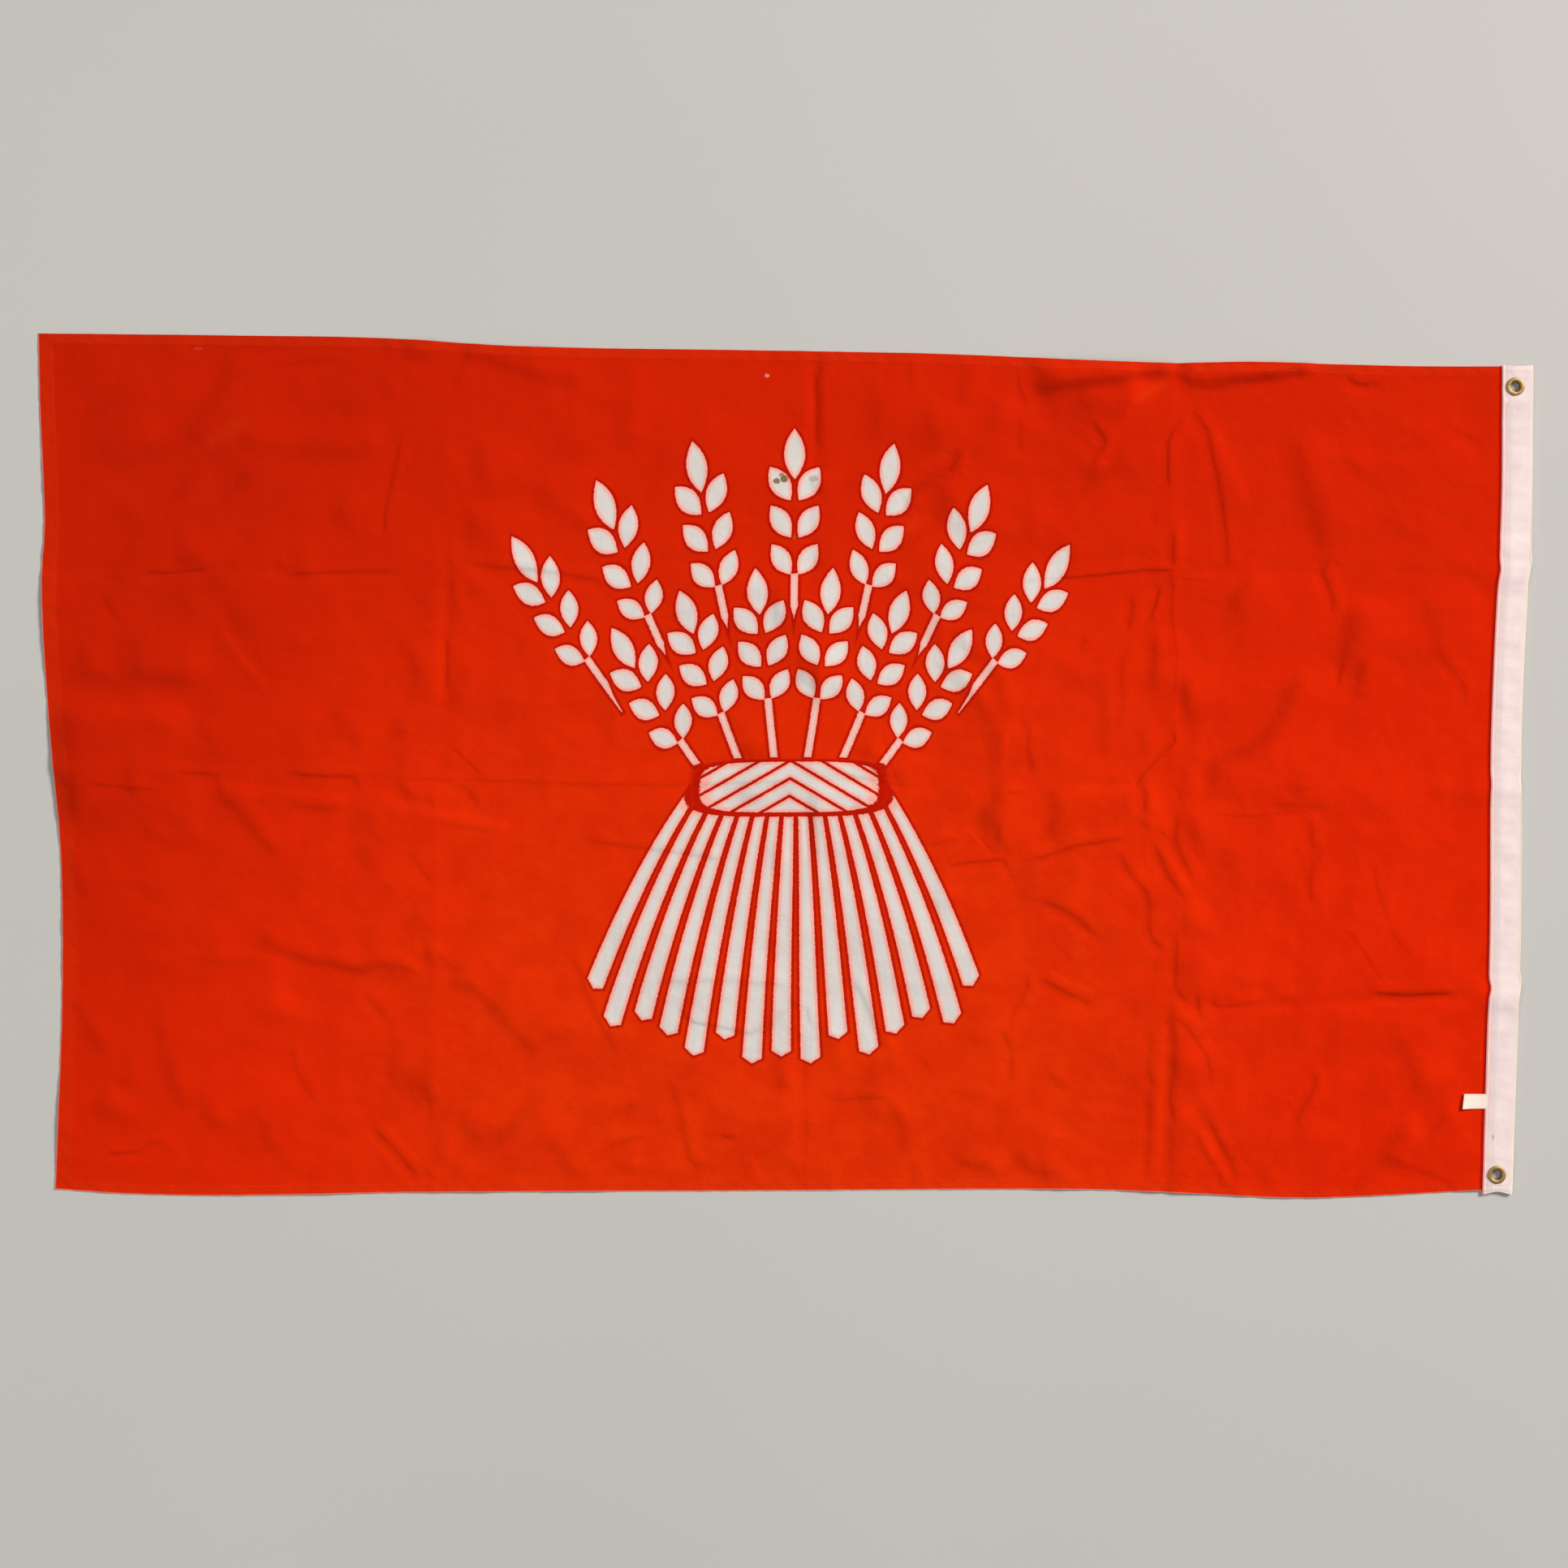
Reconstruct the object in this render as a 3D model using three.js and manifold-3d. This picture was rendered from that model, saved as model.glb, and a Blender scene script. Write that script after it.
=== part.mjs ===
// A printed flag lying spread out on the ground, creased by the way it was folded away.
// Red cloth with hems, a folded canvas heading, two brass eyelets and a small ribbon tab.
// Millimetres: +X towards the heading, +Y towards the top edge, +Z up from the ground.

import * as THREE from 'three';
import { mergeVertices } from 'three/addons/utils/BufferGeometryUtils.js';
import Module from 'manifold-3d';

// Thicknesses and widths of the sewn pieces
const CLOTH_THICKNESS = 1.0;
const HEM_EXTRA = 0.6;
const FLY_HEM_WIDTH = 14;
const EDGE_HEM_WIDTH = 9;
const HEM_STEP = 1.6;
const LEAF_THICKNESS = 0.7;
const TUCK_DEPTH = 6.5;
const HEADING_END_DIP = 2.2;
const PIECE_GAP = 0.3;

// Brass eyelets
const EYELET_HOLE_RADIUS = 4.75;
const EYELET_BARREL_RADIUS = 5.3;
const EYELET_FLANGE_RADIUS = 9.45;
const EYELET_FLANGE_THICKNESS = 0.9;
const EYELET_MOUTH_ROUNDING = 0.6;
const EYELET_SIDES = 40;
const DRILL_LENGTH = 40;
const UPPER_EYELET = { x: 754.7, y: 391.9 };
const LOWER_EYELET = { x: 735.4, y: -422.9 };

// Ribbon tab in the heading seam, on the lower part of the hoist
const TAB_LENGTH = 22.5;
const TAB_LOW_Y = -354.6;
const TAB_HIGH_Y = -339.6;
const TAB_SKEW = 1.6;
const RIBBON_THICKNESS = 0.45;

// Outline and seam, each a list of [place along the edge, place across it]
const FLY_EDGE = [
  [-438.1, -755.6], [-358, -752.2], [-215, -748.2], [-80, -750.6], [70, -764],
  [188, -769.6], [255, -766.8], [372, -771.5], [447.3, -773.2],
];
const SEAM = [
  [-443.1, 720.7], [-265, 726.2], [-165, 728.7], [11, 729.5], [112, 732.9],
  [272, 740.5], [414.5, 741.3],
];
const HEADING_EDGE = [
  [-443.9, 751.4], [-215, 759.8], [-98, 761.5], [36, 761.5], [137, 765.7],
  [238, 771.5], [414.5, 773.2],
];
const TOP_EDGE = [
  [-773.2, 447.3], [-577, 445.2], [-426, 442.7], [-275, 433.9], [-23, 429.7],
  [178, 425.5], [380, 416.6], [481, 417.5], [632, 413.7], [741, 412.9],
];
const BOTTOM_EDGE = [
  [-755.6, -438.1], [-678, -443.1], [-577, -444.8], [-376, -441.4], [-23, -439.7],
  [279, -438.1], [380, -440.6], [531, -447.3], [632, -443.9], [721, -438.9],
];

// Creases of the folding: three upright ones [y, x] and three level ones [x, y]
const UPRIGHT_CREASES = [
  [[-441, -366], [-300, -363], [-80, -361], [60, -353], [200, -351], [443, -352]],
  [[-440, 17], [-250, 18], [0, 27], [200, 31], [430, 31]],
  [[-441, 394], [-250, 401], [-150, 405], [20, 402], [200, 402], [417, 400]],
];
const LEVEL_CREASES = [
  [[-768, 206], [-600, 202], [-352, 206], [-190, 191], [31, 193], [245, 189], [402, 202], [735, 194]],
  [[-757, -2], [-600, -6], [-357, -9], [-200, -18], [120, -18], [402, -20], [728, -27]],
  [[-748, -206], [-540, -200], [-361, -221], [0, -227], [250, -224], [402, -247], [724, -238]],
];

// How each crease stands in the four stretches between its crossings: [height, half width],
// a positive height for a ridge and a negative one for a valley between two low swells
const UPRIGHT_STRETCHES = [
  [[1.2, 12], [1.6, 12], [-2, 13], [1, 12]],
  [[1.4, 12], [1.7, 12], [1.3, 12], [-2.6, 14]],
  [[-3.2, 14], [4.2, 15], [2.6, 12], [2.3, 12]],
];
const LEVEL_STRETCHES = [
  [[-2.1, 14], [2.2, 14], [1.7, 12], [-2.1, 13]],
  [[2.1, 12], [1.7, 12], [-1.8, 12], [1.4, 12]],
  [[2.1, 14], [1.5, 12], [2.1, 12], [-2.8, 14]],
];

// Crumples and slanting folds, placed by hand: [height, half width, x, y, x, y, ...]
const CRUMPLES = [
  [5.2, 17, 245, 402, 310, 412, 375, 417, 450, 416, 525, 418],
  [3.4, 14, 570, 412, 600, 408, 645, 414],
  [3.4, 10, 425, 368, 440, 330, 447, 290, 452, 250, 460, 208],
  [3.8, 22, 528, 352, 545, 300, 556, 255, 556, 222],
  [4.9, 15, 562, 192, 586, 140, 574, 84],
  [4.5, 20, 556, 372, 600, 310, 650, 262, 685, 205, 705, 160, 724, 148],
  [2.6, 16, 608, 266, 650, 232, 690, 195],
  [3.8, 18, 438, -8, 490, 22, 507, 40, 517, 72, 536, 96],
  [2.2, 12, 598, 112, 592, 75, 600, 40, 603, 2],
  [2.6, 14, 668, 172, 684, 118, 705, 92, 710, 62],
  [3.4, 12, 362, 390, 348, 345, 336, 308, 304, 278],
  [3, 12, 188, 324, 160, 305, 140, 297, 120, 270],
  [3, 14, 148, 152, 185, 115, 212, 85, 227, 50],
  [2.2, 14, -578, 165, -548, 110, -528, 82],
  [3.8, 14, -594, -22, -570, -50, -545, -72, -518, -100],
  [2.6, 11, -718, -20, -600, -32, -440, -47, -290, -65, -165, -82, 60, -90, 220, -98],
  [3, 12, 220, -100, 255, -100, 300, -83, 345, -75, 390, -66, 530, -38, 640, -40],
  [4.5, 16, -545, -180, -500, -194, -450, -206, -380, -219],
  [3.8, 16, -355, -220, -310, -237, -288, -260, -258, -305, -228, -278],
  [2.1, 10, -227, -192, -205, -240, -195, -270, -163, -304],
  [3, 12, 68, -215, 80, -240, 100, -290, 118, -330, 125, -380, 138, -436],
  [4.9, 12, 380, -78, 400, -120, 413, -145, 424, -190, 428, -250],
  [3.8, 12, 396, -16, 408, -45, 405, -72, 419, -118],
  [2.6, 10, 343, -82, 357, -112, 373, -132, 376, -168, 394, -192],
  [3, 12, 236, -140, 272, -142, 295, -154, 323, -174],
  [3.4, 12, 432, -370, 450, -400, 469, -431],
  [2.6, 11, 404, -253, 426, -285, 440, -310, 443, -335],
  [2.6, 16, 628, -272, 645, -305, 660, -345, 702, -329],
  [2.2, 12, 662, -393, 682, -365, 703, -347],
  [2.2, 14, 618, -418, 628, -392, 654, -366],
  [2.6, 14, -742, -226, -722, -272, -700, -305],
  [2.2, 14, -657, -266, -640, -320, -622, -350, -610, -400],
  [2.6, 14, -348, -355, -312, -392, -262, -365, -235, -348],
  [2.2, 12, -424, -376, -398, -402, -368, -436],
  [2.6, 22, -724, 96, -680, 84, -596, 80],
  [2.2, 26, -626, 336, -520, 331, -436, 332],
  [2.2, 16, -268, 304, -230, 265, -186, 238],
  [3, 12, 380, 142, 383, 110, 374, 78],
  [3, 10, 409, 97, 414, 70, 418, 46],
  [2.1, 12, -82, -269, -50, -274, -28, -278, -3, -252],
];

// How the relief is put together: where low swells meet the ground, and how the cloth
// climbs from the ground into the heading
const SETTLE = 0.4;
const CREST_ROUNDING = 2.5;
const BLEND_POWER = 3;
const HEADING_SETTLE = 0.02;
const END_FADE = 0.22;
const CLIMB_START = 42;
const CLIMB_END = 5;

// Kinks of the canvas heading at the level creases [y, height, half width]
const HEADING_KINKS = [
  [201, 2.4, 16],
  [226, 1.4, 10],
  [-26, 1.6, 14],
  [-239, 2.6, 16],
];
const EYELET_PRESS_INNER = 13;
const EYELET_PRESS_OUTER = 38;

// Cells of the cloth's mesh in each panel between creases
const CELLS_ACROSS = [13, 14, 14, 13];
const CELLS_DOWN = [8, 9, 9, 8];
const CREASE_CROWDING = 0.55;

const SLOT_HEIGHT = CLOTH_THICKNESS + 2 * PIECE_GAP;
const HEADING_THICKNESS = SLOT_HEIGHT + 2 * LEAF_THICKNESS;
const SLOT_DEPTH = TUCK_DEPTH + PIECE_GAP;
const EYELET_LIFT = EYELET_FLANGE_THICKNESS + PIECE_GAP;
const TUCKED_CLOTH_LIFT = LEAF_THICKNESS + PIECE_GAP;
const PANELS = 4;
const PLAN_PASSES = 5;
const STRETCH_STEPS = 6;

// A smooth line through [place, value] points, with each slope taken from the neighbours
function smoothLine(points) {
  const last = points.length - 1;
  const slopes = points.map((point, i) => {
    const before = points[Math.max(i - 1, 0)];
    const after = points[Math.min(i + 1, last)];
    return (after[1] - before[1]) / (after[0] - before[0]);
  });
  return (place) => {
    let i = 0;
    while (i < last - 1 && place > points[i + 1][0]) i += 1;
    const span = points[i + 1][0] - points[i][0];
    const f = THREE.MathUtils.clamp((place - points[i][0]) / span, 0, 1);
    const rise = points[i + 1][1] - points[i][1];
    const pull = (1 - f) * (slopes[i] * span - rise) - f * (slopes[i + 1] * span - rise);
    return points[i][1] + rise * f + f * (1 - f) * pull;
  };
}

const seamAt = smoothLine(SEAM);
const headingEdgeAt = smoothLine(HEADING_EDGE);
const uprightLines = [FLY_EDGE, ...UPRIGHT_CREASES, SEAM].map(smoothLine);
const levelLines = [TOP_EDGE, ...LEVEL_CREASES, BOTTOM_EDGE].map(smoothLine);

// The value of a family of lines between two of its members
function between(lines, count, place) {
  const i = Math.min(Math.floor(count), lines.length - 2);
  return THREE.MathUtils.lerp(lines[i](place), lines[i + 1](place), count - i);
}

// The point in plan at a count of panels across and down; past the seam, across is in millimetres
function planPoint(across, down, pastSeam = 0) {
  let x = THREE.MathUtils.lerp(FLY_EDGE[0][1], SEAM[0][1], across / PANELS);
  let y = 0;
  for (let pass = 0; pass < PLAN_PASSES; pass += 1) {
    y = between(levelLines, down, x);
    x = between(uprightLines, across, y) + pastSeam;
  }
  return new THREE.Vector2(x, y);
}

// Positions from one value to another, closer together at both ends
function crowded(from, to, cells) {
  return Array.from({ length: cells + 1 }, (_, i) => {
    const f = i / cells;
    const eased = f - (CREASE_CROWDING * Math.sin(2 * Math.PI * f)) / (2 * Math.PI);
    return THREE.MathUtils.lerp(from, to, eased);
  });
}

// The points of a crease between two of its crossings
function creaseStretch(isUpright, crease, stretch) {
  const points = [];
  for (let i = 0; i <= STRETCH_STEPS; i += 1) {
    const along = stretch + i / STRETCH_STEPS;
    const point = isUpright ? planPoint(crease, along) : planPoint(along, crease);
    points.push(point);
  }
  return points;
}

// Every fold as a height, a half width, a line in plan and whether its ends fade out
function listFolds() {
  const folds = [];
  for (let crease = 1; crease < PANELS; crease += 1) {
    for (let stretch = 0; stretch < PANELS; stretch += 1) {
      const [upHeight, upWidth] = UPRIGHT_STRETCHES[crease - 1][PANELS - 1 - stretch];
      const [flatHeight, flatWidth] = LEVEL_STRETCHES[crease - 1][stretch];
      const upright = creaseStretch(true, crease, stretch);
      const level = creaseStretch(false, crease, stretch);
      folds.push({ height: upHeight, width: upWidth, line: upright, fades: false });
      folds.push({ height: flatHeight, width: flatWidth, line: level, fades: false });
    }
  }
  for (const [height, width, ...numbers] of CRUMPLES) {
    const line = [];
    for (let i = 0; i < numbers.length; i += 2) {
      line.push(new THREE.Vector2(numbers[i], numbers[i + 1]));
    }
    folds.push({ height, width, line, fades: true });
  }
  return folds;
}

// Distance from a point to a line of segments, and how far along the line the nearest point is
function nearestOnLine(point, line) {
  const lengths = line.slice(1).map((end, i) => end.distanceTo(line[i]));
  const total = lengths.reduce((sum, length) => sum + length, 0);
  const best = { distance: Infinity, along: 0 };
  let passed = 0;
  lengths.forEach((length, i) => {
    const run = line[i + 1].clone().sub(line[i]);
    const offset = point.clone().sub(line[i]);
    const f = THREE.MathUtils.clamp(offset.dot(run) / (length * length), 0, 1);
    const distance = offset.addScaledVector(run, -f).length();
    if (distance < best.distance) {
      best.distance = distance;
      best.along = (passed + f * length) / total;
    }
    passed += length;
  });
  return best;
}

// The height of one fold at a distance from its line: a rounded tent, or two swells and a crease
function foldProfile(fold, distance) {
  const reach = Math.hypot(distance, CREST_ROUNDING) - CREST_ROUNDING;
  if (fold.height > 0) return fold.height * Math.exp(-reach / fold.width);
  const f = reach / fold.width;
  return -fold.height * f * Math.exp(1 - f);
}

const folds = listFolds();

// How high the heading's underside stands off the ground: the kinks, and flat over each eyelet
function headingLift(y) {
  let lift = 0;
  for (const [place, height, width] of HEADING_KINKS) {
    lift += height * Math.exp(-(((y - place) / width) ** 2));
  }
  for (const eyelet of [UPPER_EYELET, LOWER_EYELET]) {
    const away = Math.abs(y - eyelet.y);
    const press = 1 - THREE.MathUtils.smoothstep(away, EYELET_PRESS_INNER, EYELET_PRESS_OUTER);
    lift = THREE.MathUtils.lerp(lift, EYELET_LIFT, press);
  }
  return Math.max(0, lift - HEADING_SETTLE);
}

// How high the cloth's underside stands off the ground at a point in plan
function clothLift(point) {
  let sum = 0;
  for (const fold of folds) {
    const near = nearestOnLine(point, fold.line);
    const end = Math.min(near.along, 1 - near.along) / END_FADE;
    const fade = fold.fades ? THREE.MathUtils.smoothstep(end, 0, 1) : 1;
    sum += (fade * foldProfile(fold, near.distance)) ** BLEND_POWER;
  }
  const free = Math.max(0, sum ** (1 / BLEND_POWER) - SETTLE);
  const fromSeam = seamAt(point.y) - point.x;
  const climb = 1 - THREE.MathUtils.smoothstep(fromSeam, CLIMB_END, CLIMB_START);
  return THREE.MathUtils.lerp(free, headingLift(point.y) + TUCKED_CLOTH_LIFT, climb);
}

// The cloth's own thickness: one layer, and a second one in the hems
function clothThickness(point) {
  const fromFly = point.x - uprightLines[0](point.y);
  const fromTop = levelLines[0](point.x) - point.y;
  const fromBottom = point.y - levelLines[PANELS](point.x);
  const fromSeam = seamAt(point.y) - point.x;
  const inHem = Math.max(
    1 - THREE.MathUtils.smoothstep(fromFly, FLY_HEM_WIDTH, FLY_HEM_WIDTH + HEM_STEP),
    1 - THREE.MathUtils.smoothstep(fromTop, EDGE_HEM_WIDTH, EDGE_HEM_WIDTH + HEM_STEP),
    1 - THREE.MathUtils.smoothstep(fromBottom, EDGE_HEM_WIDTH, EDGE_HEM_WIDTH + HEM_STEP),
  );
  const outOfHeading = THREE.MathUtils.smoothstep(fromSeam, CLIMB_END, CLIMB_START);
  return CLOTH_THICKNESS + HEM_EXTRA * inHem * outOfHeading;
}

// A geometry from points and triangles
function geometryOf(points, triangles) {
  const geometry = new THREE.BufferGeometry();
  const numbers = points.flatMap((p) => [p.x, p.y, p.z]);
  geometry.setAttribute('position', new THREE.Float32BufferAttribute(numbers, 3));
  geometry.setIndex(triangles);
  return geometry;
}

// Counts of panels at which the cloth's mesh has its columns and rows
function meshLines(cells, hemAtStart, hemAtEnd) {
  const places = [0];
  const last = cells.length - 1;
  cells.forEach((count, panel) => {
    const from = panel + (panel === 0 ? hemAtStart[1] : 0);
    const to = panel + 1 - (panel === last ? hemAtEnd[1] : 0);
    if (panel === 0) places.push(hemAtStart[0]);
    else places.pop();
    places.push(...crowded(from, to, count));
  });
  if (hemAtEnd[1] > 0) places.push(cells.length - hemAtEnd[0], cells.length);
  return places;
}

const flyPanelWidth = planPoint(1, 2).x - planPoint(0, 2).x;
const edgePanelHeight = planPoint(2, 0).y - planPoint(2, 1).y;
const flyHem = [FLY_HEM_WIDTH / flyPanelWidth, (FLY_HEM_WIDTH + HEM_STEP) / flyPanelWidth];
const edgeHem = [EDGE_HEM_WIDTH / edgePanelHeight, (EDGE_HEM_WIDTH + HEM_STEP) / edgePanelHeight];
const columns = meshLines(CELLS_ACROSS, flyHem, [0, 0]);
const rows = meshLines(CELLS_DOWN, edgeHem, edgeHem);

// The red cloth: a creased sheet on the ground whose hoist edge runs into the heading
function makeField() {
  const grid = rows.map((down) => [
    ...columns.map((across) => planPoint(across, down)),
    planPoint(PANELS, down, TUCK_DEPTH),
  ]);
  const acrossCount = columns.length + 1;
  const points = [];
  for (const onTop of [false, true]) {
    for (const row of grid) {
      for (const p of row) {
        const z = clothLift(p) + (onTop ? clothThickness(p) : 0);
        points.push(new THREE.Vector3(p.x, p.y, z));
      }
    }
  }
  const layer = grid.length * acrossCount;
  const triangles = [];
  const quad = (a, b, c, d) => triangles.push(a, b, c, a, c, d);
  for (let r = 0; r < grid.length - 1; r += 1) {
    for (let c = 0; c < acrossCount - 1; c += 1) {
      const i = r * acrossCount + c;
      const below = i + acrossCount;
      quad(i, i + 1, below + 1, below);
      quad(layer + i, layer + below, layer + below + 1, layer + i + 1);
    }
  }
  const lastRow = (grid.length - 1) * acrossCount;
  for (let c = 0; c < acrossCount - 1; c += 1) {
    quad(c, layer + c, layer + c + 1, c + 1);
    quad(lastRow + c, lastRow + c + 1, layer + lastRow + c + 1, layer + lastRow + c);
  }
  for (let r = 0; r < grid.length - 1; r += 1) {
    const fly = r * acrossCount;
    const hoist = fly + acrossCount - 1;
    quad(fly, fly + acrossCount, layer + fly + acrossCount, layer + fly);
    quad(hoist, layer + hoist, layer + hoist + acrossCount, hoist + acrossCount);
  }
  return geometryOf(points, triangles);
}

// A closed body from sections of equal point counts, each section a loop of points
function sweepSections(sections) {
  const count = sections[0].length;
  const points = sections.flat();
  const triangles = [];
  for (let j = 0; j < sections.length - 1; j += 1) {
    for (let i = 0; i < count; i += 1) {
      const next = (i + 1) % count;
      const a = j * count + i;
      const b = j * count + next;
      triangles.push(a, a + count, b + count, a, b + count, b);
    }
  }
  const flat = sections[0].map((p) => new THREE.Vector2(p.x, p.z));
  const lastStart = (sections.length - 1) * count;
  const loopTurn = Math.sign(THREE.ShapeUtils.area(flat));
  for (const [a, b, c] of THREE.ShapeUtils.triangulateShape(flat, [])) {
    const turn = Math.sign(THREE.ShapeUtils.area([flat[a], flat[b], flat[c]]));
    const [p, q, r] = turn === loopTurn ? [a, b, c] : [a, c, b];
    triangles.push(p, q, r, lastStart + p, lastStart + r, lastStart + q);
  }
  return geometryOf(points, triangles);
}

// A strip folded over on itself, as [distance from its open edges, height] pairs
function foldedStripSection(width, thickness, leaf, slotDepth) {
  const radius = thickness / 2;
  const middle = (slotDepth + width - radius) / 2;
  const section = [[0, 0], [slotDepth, 0], [middle, 0], [width - radius, 0]];
  for (const turn of [30, 60, 90, 120, 150]) {
    const angle = THREE.MathUtils.degToRad(turn);
    section.push([width - radius + radius * Math.sin(angle), radius - radius * Math.cos(angle)]);
  }
  section.push([width - radius, thickness], [middle, thickness], [slotDepth, thickness], [0, thickness]);
  section.push([0, thickness - leaf], [slotDepth, thickness - leaf], [slotDepth, leaf], [0, leaf]);
  return section;
}

// A mesh's geometry as a solid for cutting, and back
const wasm = await Module();
wasm.setup();

function toSolid(geometry) {
  const bare = geometry.clone();
  bare.deleteAttribute('normal');
  bare.deleteAttribute('uv');
  const merged = mergeVertices(bare, 1e-4);
  const vertProperties = new Float32Array(merged.attributes.position.array);
  const triVerts = new Uint32Array(merged.index.array);
  return new wasm.Manifold(new wasm.Mesh({ numProp: 3, vertProperties, triVerts }));
}

function toGeometry(solid) {
  const mesh = solid.getMesh();
  const geometry = new THREE.BufferGeometry();
  geometry.setAttribute('position', new THREE.BufferAttribute(new Float32Array(mesh.vertProperties), 3));
  geometry.setIndex(new THREE.BufferAttribute(new Uint32Array(mesh.triVerts), 1));
  return geometry;
}

// The canvas heading: a strip folded over the cloth's hoist edge, with a hole for each eyelet
function makeHeading() {
  const seamRows = rows.map((down) => planPoint(PANELS, down).y);
  const topEnd = SEAM[SEAM.length - 1][0];
  const bottomEnd = SEAM[0][0];
  const stations = [topEnd, ...seamRows, bottomEnd].reverse();
  const sections = stations.map((y) => {
    const width = headingEdgeAt(y) - seamAt(y);
    const section = foldedStripSection(width, HEADING_THICKNESS, LEAF_THICKNESS, SLOT_DEPTH);
    const lift = headingLift(y);
    const isEnd = y === topEnd || y === bottomEnd;
    return section.map(([across, height]) => {
      const dip = isEnd ? HEADING_END_DIP * Math.sin((Math.PI * across) / width) : 0;
      const endY = y === topEnd ? y - dip * 0.5 : y + dip;
      return new THREE.Vector3(seamAt(y) + across, endY, lift + height);
    });
  });
  let solid = toSolid(sweepSections(sections));
  for (const eyelet of [UPPER_EYELET, LOWER_EYELET]) {
    const drill = new THREE.CylinderGeometry(
      EYELET_BARREL_RADIUS + PIECE_GAP,
      EYELET_BARREL_RADIUS + PIECE_GAP,
      DRILL_LENGTH,
      EYELET_SIDES,
    );
    drill.rotateX(Math.PI / 2);
    drill.translate(eyelet.x, eyelet.y, 0);
    solid = solid.subtract(toSolid(drill));
  }
  return toGeometry(solid);
}

// Points round a centre in a profile, at the given angles in degrees from its outward direction
function roundStretch(centreRadius, centreHeight, radius, angles) {
  return angles.map((degrees) => {
    const angle = THREE.MathUtils.degToRad(degrees);
    return [centreRadius + radius * Math.cos(angle), centreHeight + radius * Math.sin(angle)];
  });
}

// One eyelet: a short barrel with a rolled flange above and below the canvas
function makeEyelet() {
  const height = HEADING_THICKNESS + 2 * EYELET_LIFT;
  const mouth = EYELET_MOUTH_ROUNDING;
  const roll = EYELET_FLANGE_THICKNESS / 2;
  const lowerHalf = [
    ...roundStretch(EYELET_HOLE_RADIUS + mouth, mouth, mouth, [180, 225, 270]),
    ...roundStretch(EYELET_FLANGE_RADIUS - roll, roll, roll, [-90, -45, 0, 45, 90]),
    [EYELET_BARREL_RADIUS, EYELET_FLANGE_THICKNESS],
  ];
  const upperHalf = lowerHalf.map(([r, z]) => [r, height - z]).reverse();
  const profile = [...lowerHalf, ...upperHalf, lowerHalf[0]].map(([r, z]) => new THREE.Vector2(r, z));
  const ring = new THREE.LatheGeometry(profile, EYELET_SIDES);
  ring.rotateX(Math.PI / 2);
  ring.deleteAttribute('normal');
  ring.deleteAttribute('uv');
  return mergeVertices(ring, 1e-4);
}

// The ribbon tab: folded in two, lying on the cloth with its open ends against the heading
function makeTab() {
  const thickness = 2 * RIBBON_THICKNESS + PIECE_GAP;
  const sections = [TAB_LOW_Y, (TAB_LOW_Y + TAB_HIGH_Y) / 2, TAB_HIGH_Y].map((y, i) => {
    const length = TAB_LENGTH + TAB_SKEW * (0.5 - i / 2);
    const slot = length - thickness;
    return foldedStripSection(length, thickness, RIBBON_THICKNESS, slot).map(([away, height]) => {
      const x = seamAt(y) - PIECE_GAP - away;
      const ground = new THREE.Vector2(x, y);
      const top = clothLift(ground) + clothThickness(ground);
      return new THREE.Vector3(x, y, top + PIECE_GAP + height);
    });
  });
  return sweepSections(sections.reverse());
}

// A named piece of the flag
function piece(name, geometry, colour, roughness, metalness) {
  geometry.computeVertexNormals();
  const material = new THREE.MeshStandardMaterial({
    color: new THREE.Color().setRGB(...colour, THREE.SRGBColorSpace),
    roughness,
    metalness,
  });
  const mesh = new THREE.Mesh(geometry, material);
  mesh.name = name;
  return mesh;
}

const RED = [0.83, 0.16, 0.02];
const CANVAS_WHITE = [0.93, 0.86, 0.84];
const RIBBON_WHITE = [0.97, 0.9, 0.84];
const BRASS = [0.72, 0.58, 0.33];

const flag = new THREE.Group();
flag.add(piece('field', makeField(), RED, 0.8, 0));
flag.add(piece('heading', makeHeading(), CANVAS_WHITE, 0.85, 0));
flag.add(piece('label', makeTab(), RIBBON_WHITE, 0.6, 0));
for (const [name, place] of [['eyelet_upper', UPPER_EYELET], ['eyelet_lower', LOWER_EYELET]]) {
  const eyelet = piece(name, makeEyelet(), BRASS, 0.35, 1);
  eyelet.position.set(place.x, place.y, 0);
  flag.add(eyelet);
}

// The origin goes to the middle of the flag's footprint, on the ground
const bounds = new THREE.Box3().setFromObject(flag, true);
const centre = bounds.getCenter(new THREE.Vector3());
flag.position.set(-centre.x, -centre.y, -bounds.min.z);
flag.updateMatrixWorld(true);

export default flag;
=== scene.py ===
# %% [markdown]
# # A red flag, laid out flat with the creases of its folding
#
# The real flag is one cut of thin red cloth, printed white in the middle, hemmed on three sides
# and sewn into a folded canvas heading with two brass eyelets. Somebody kept it folded, and then
# spread it on the ground: three upright and three level creases cross it, with crumples between.
#
# This lesson builds each sewn piece as a surface worked out with numpy, in millimetres, and gives
# it a finish made of shader nodes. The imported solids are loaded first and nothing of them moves.

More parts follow.
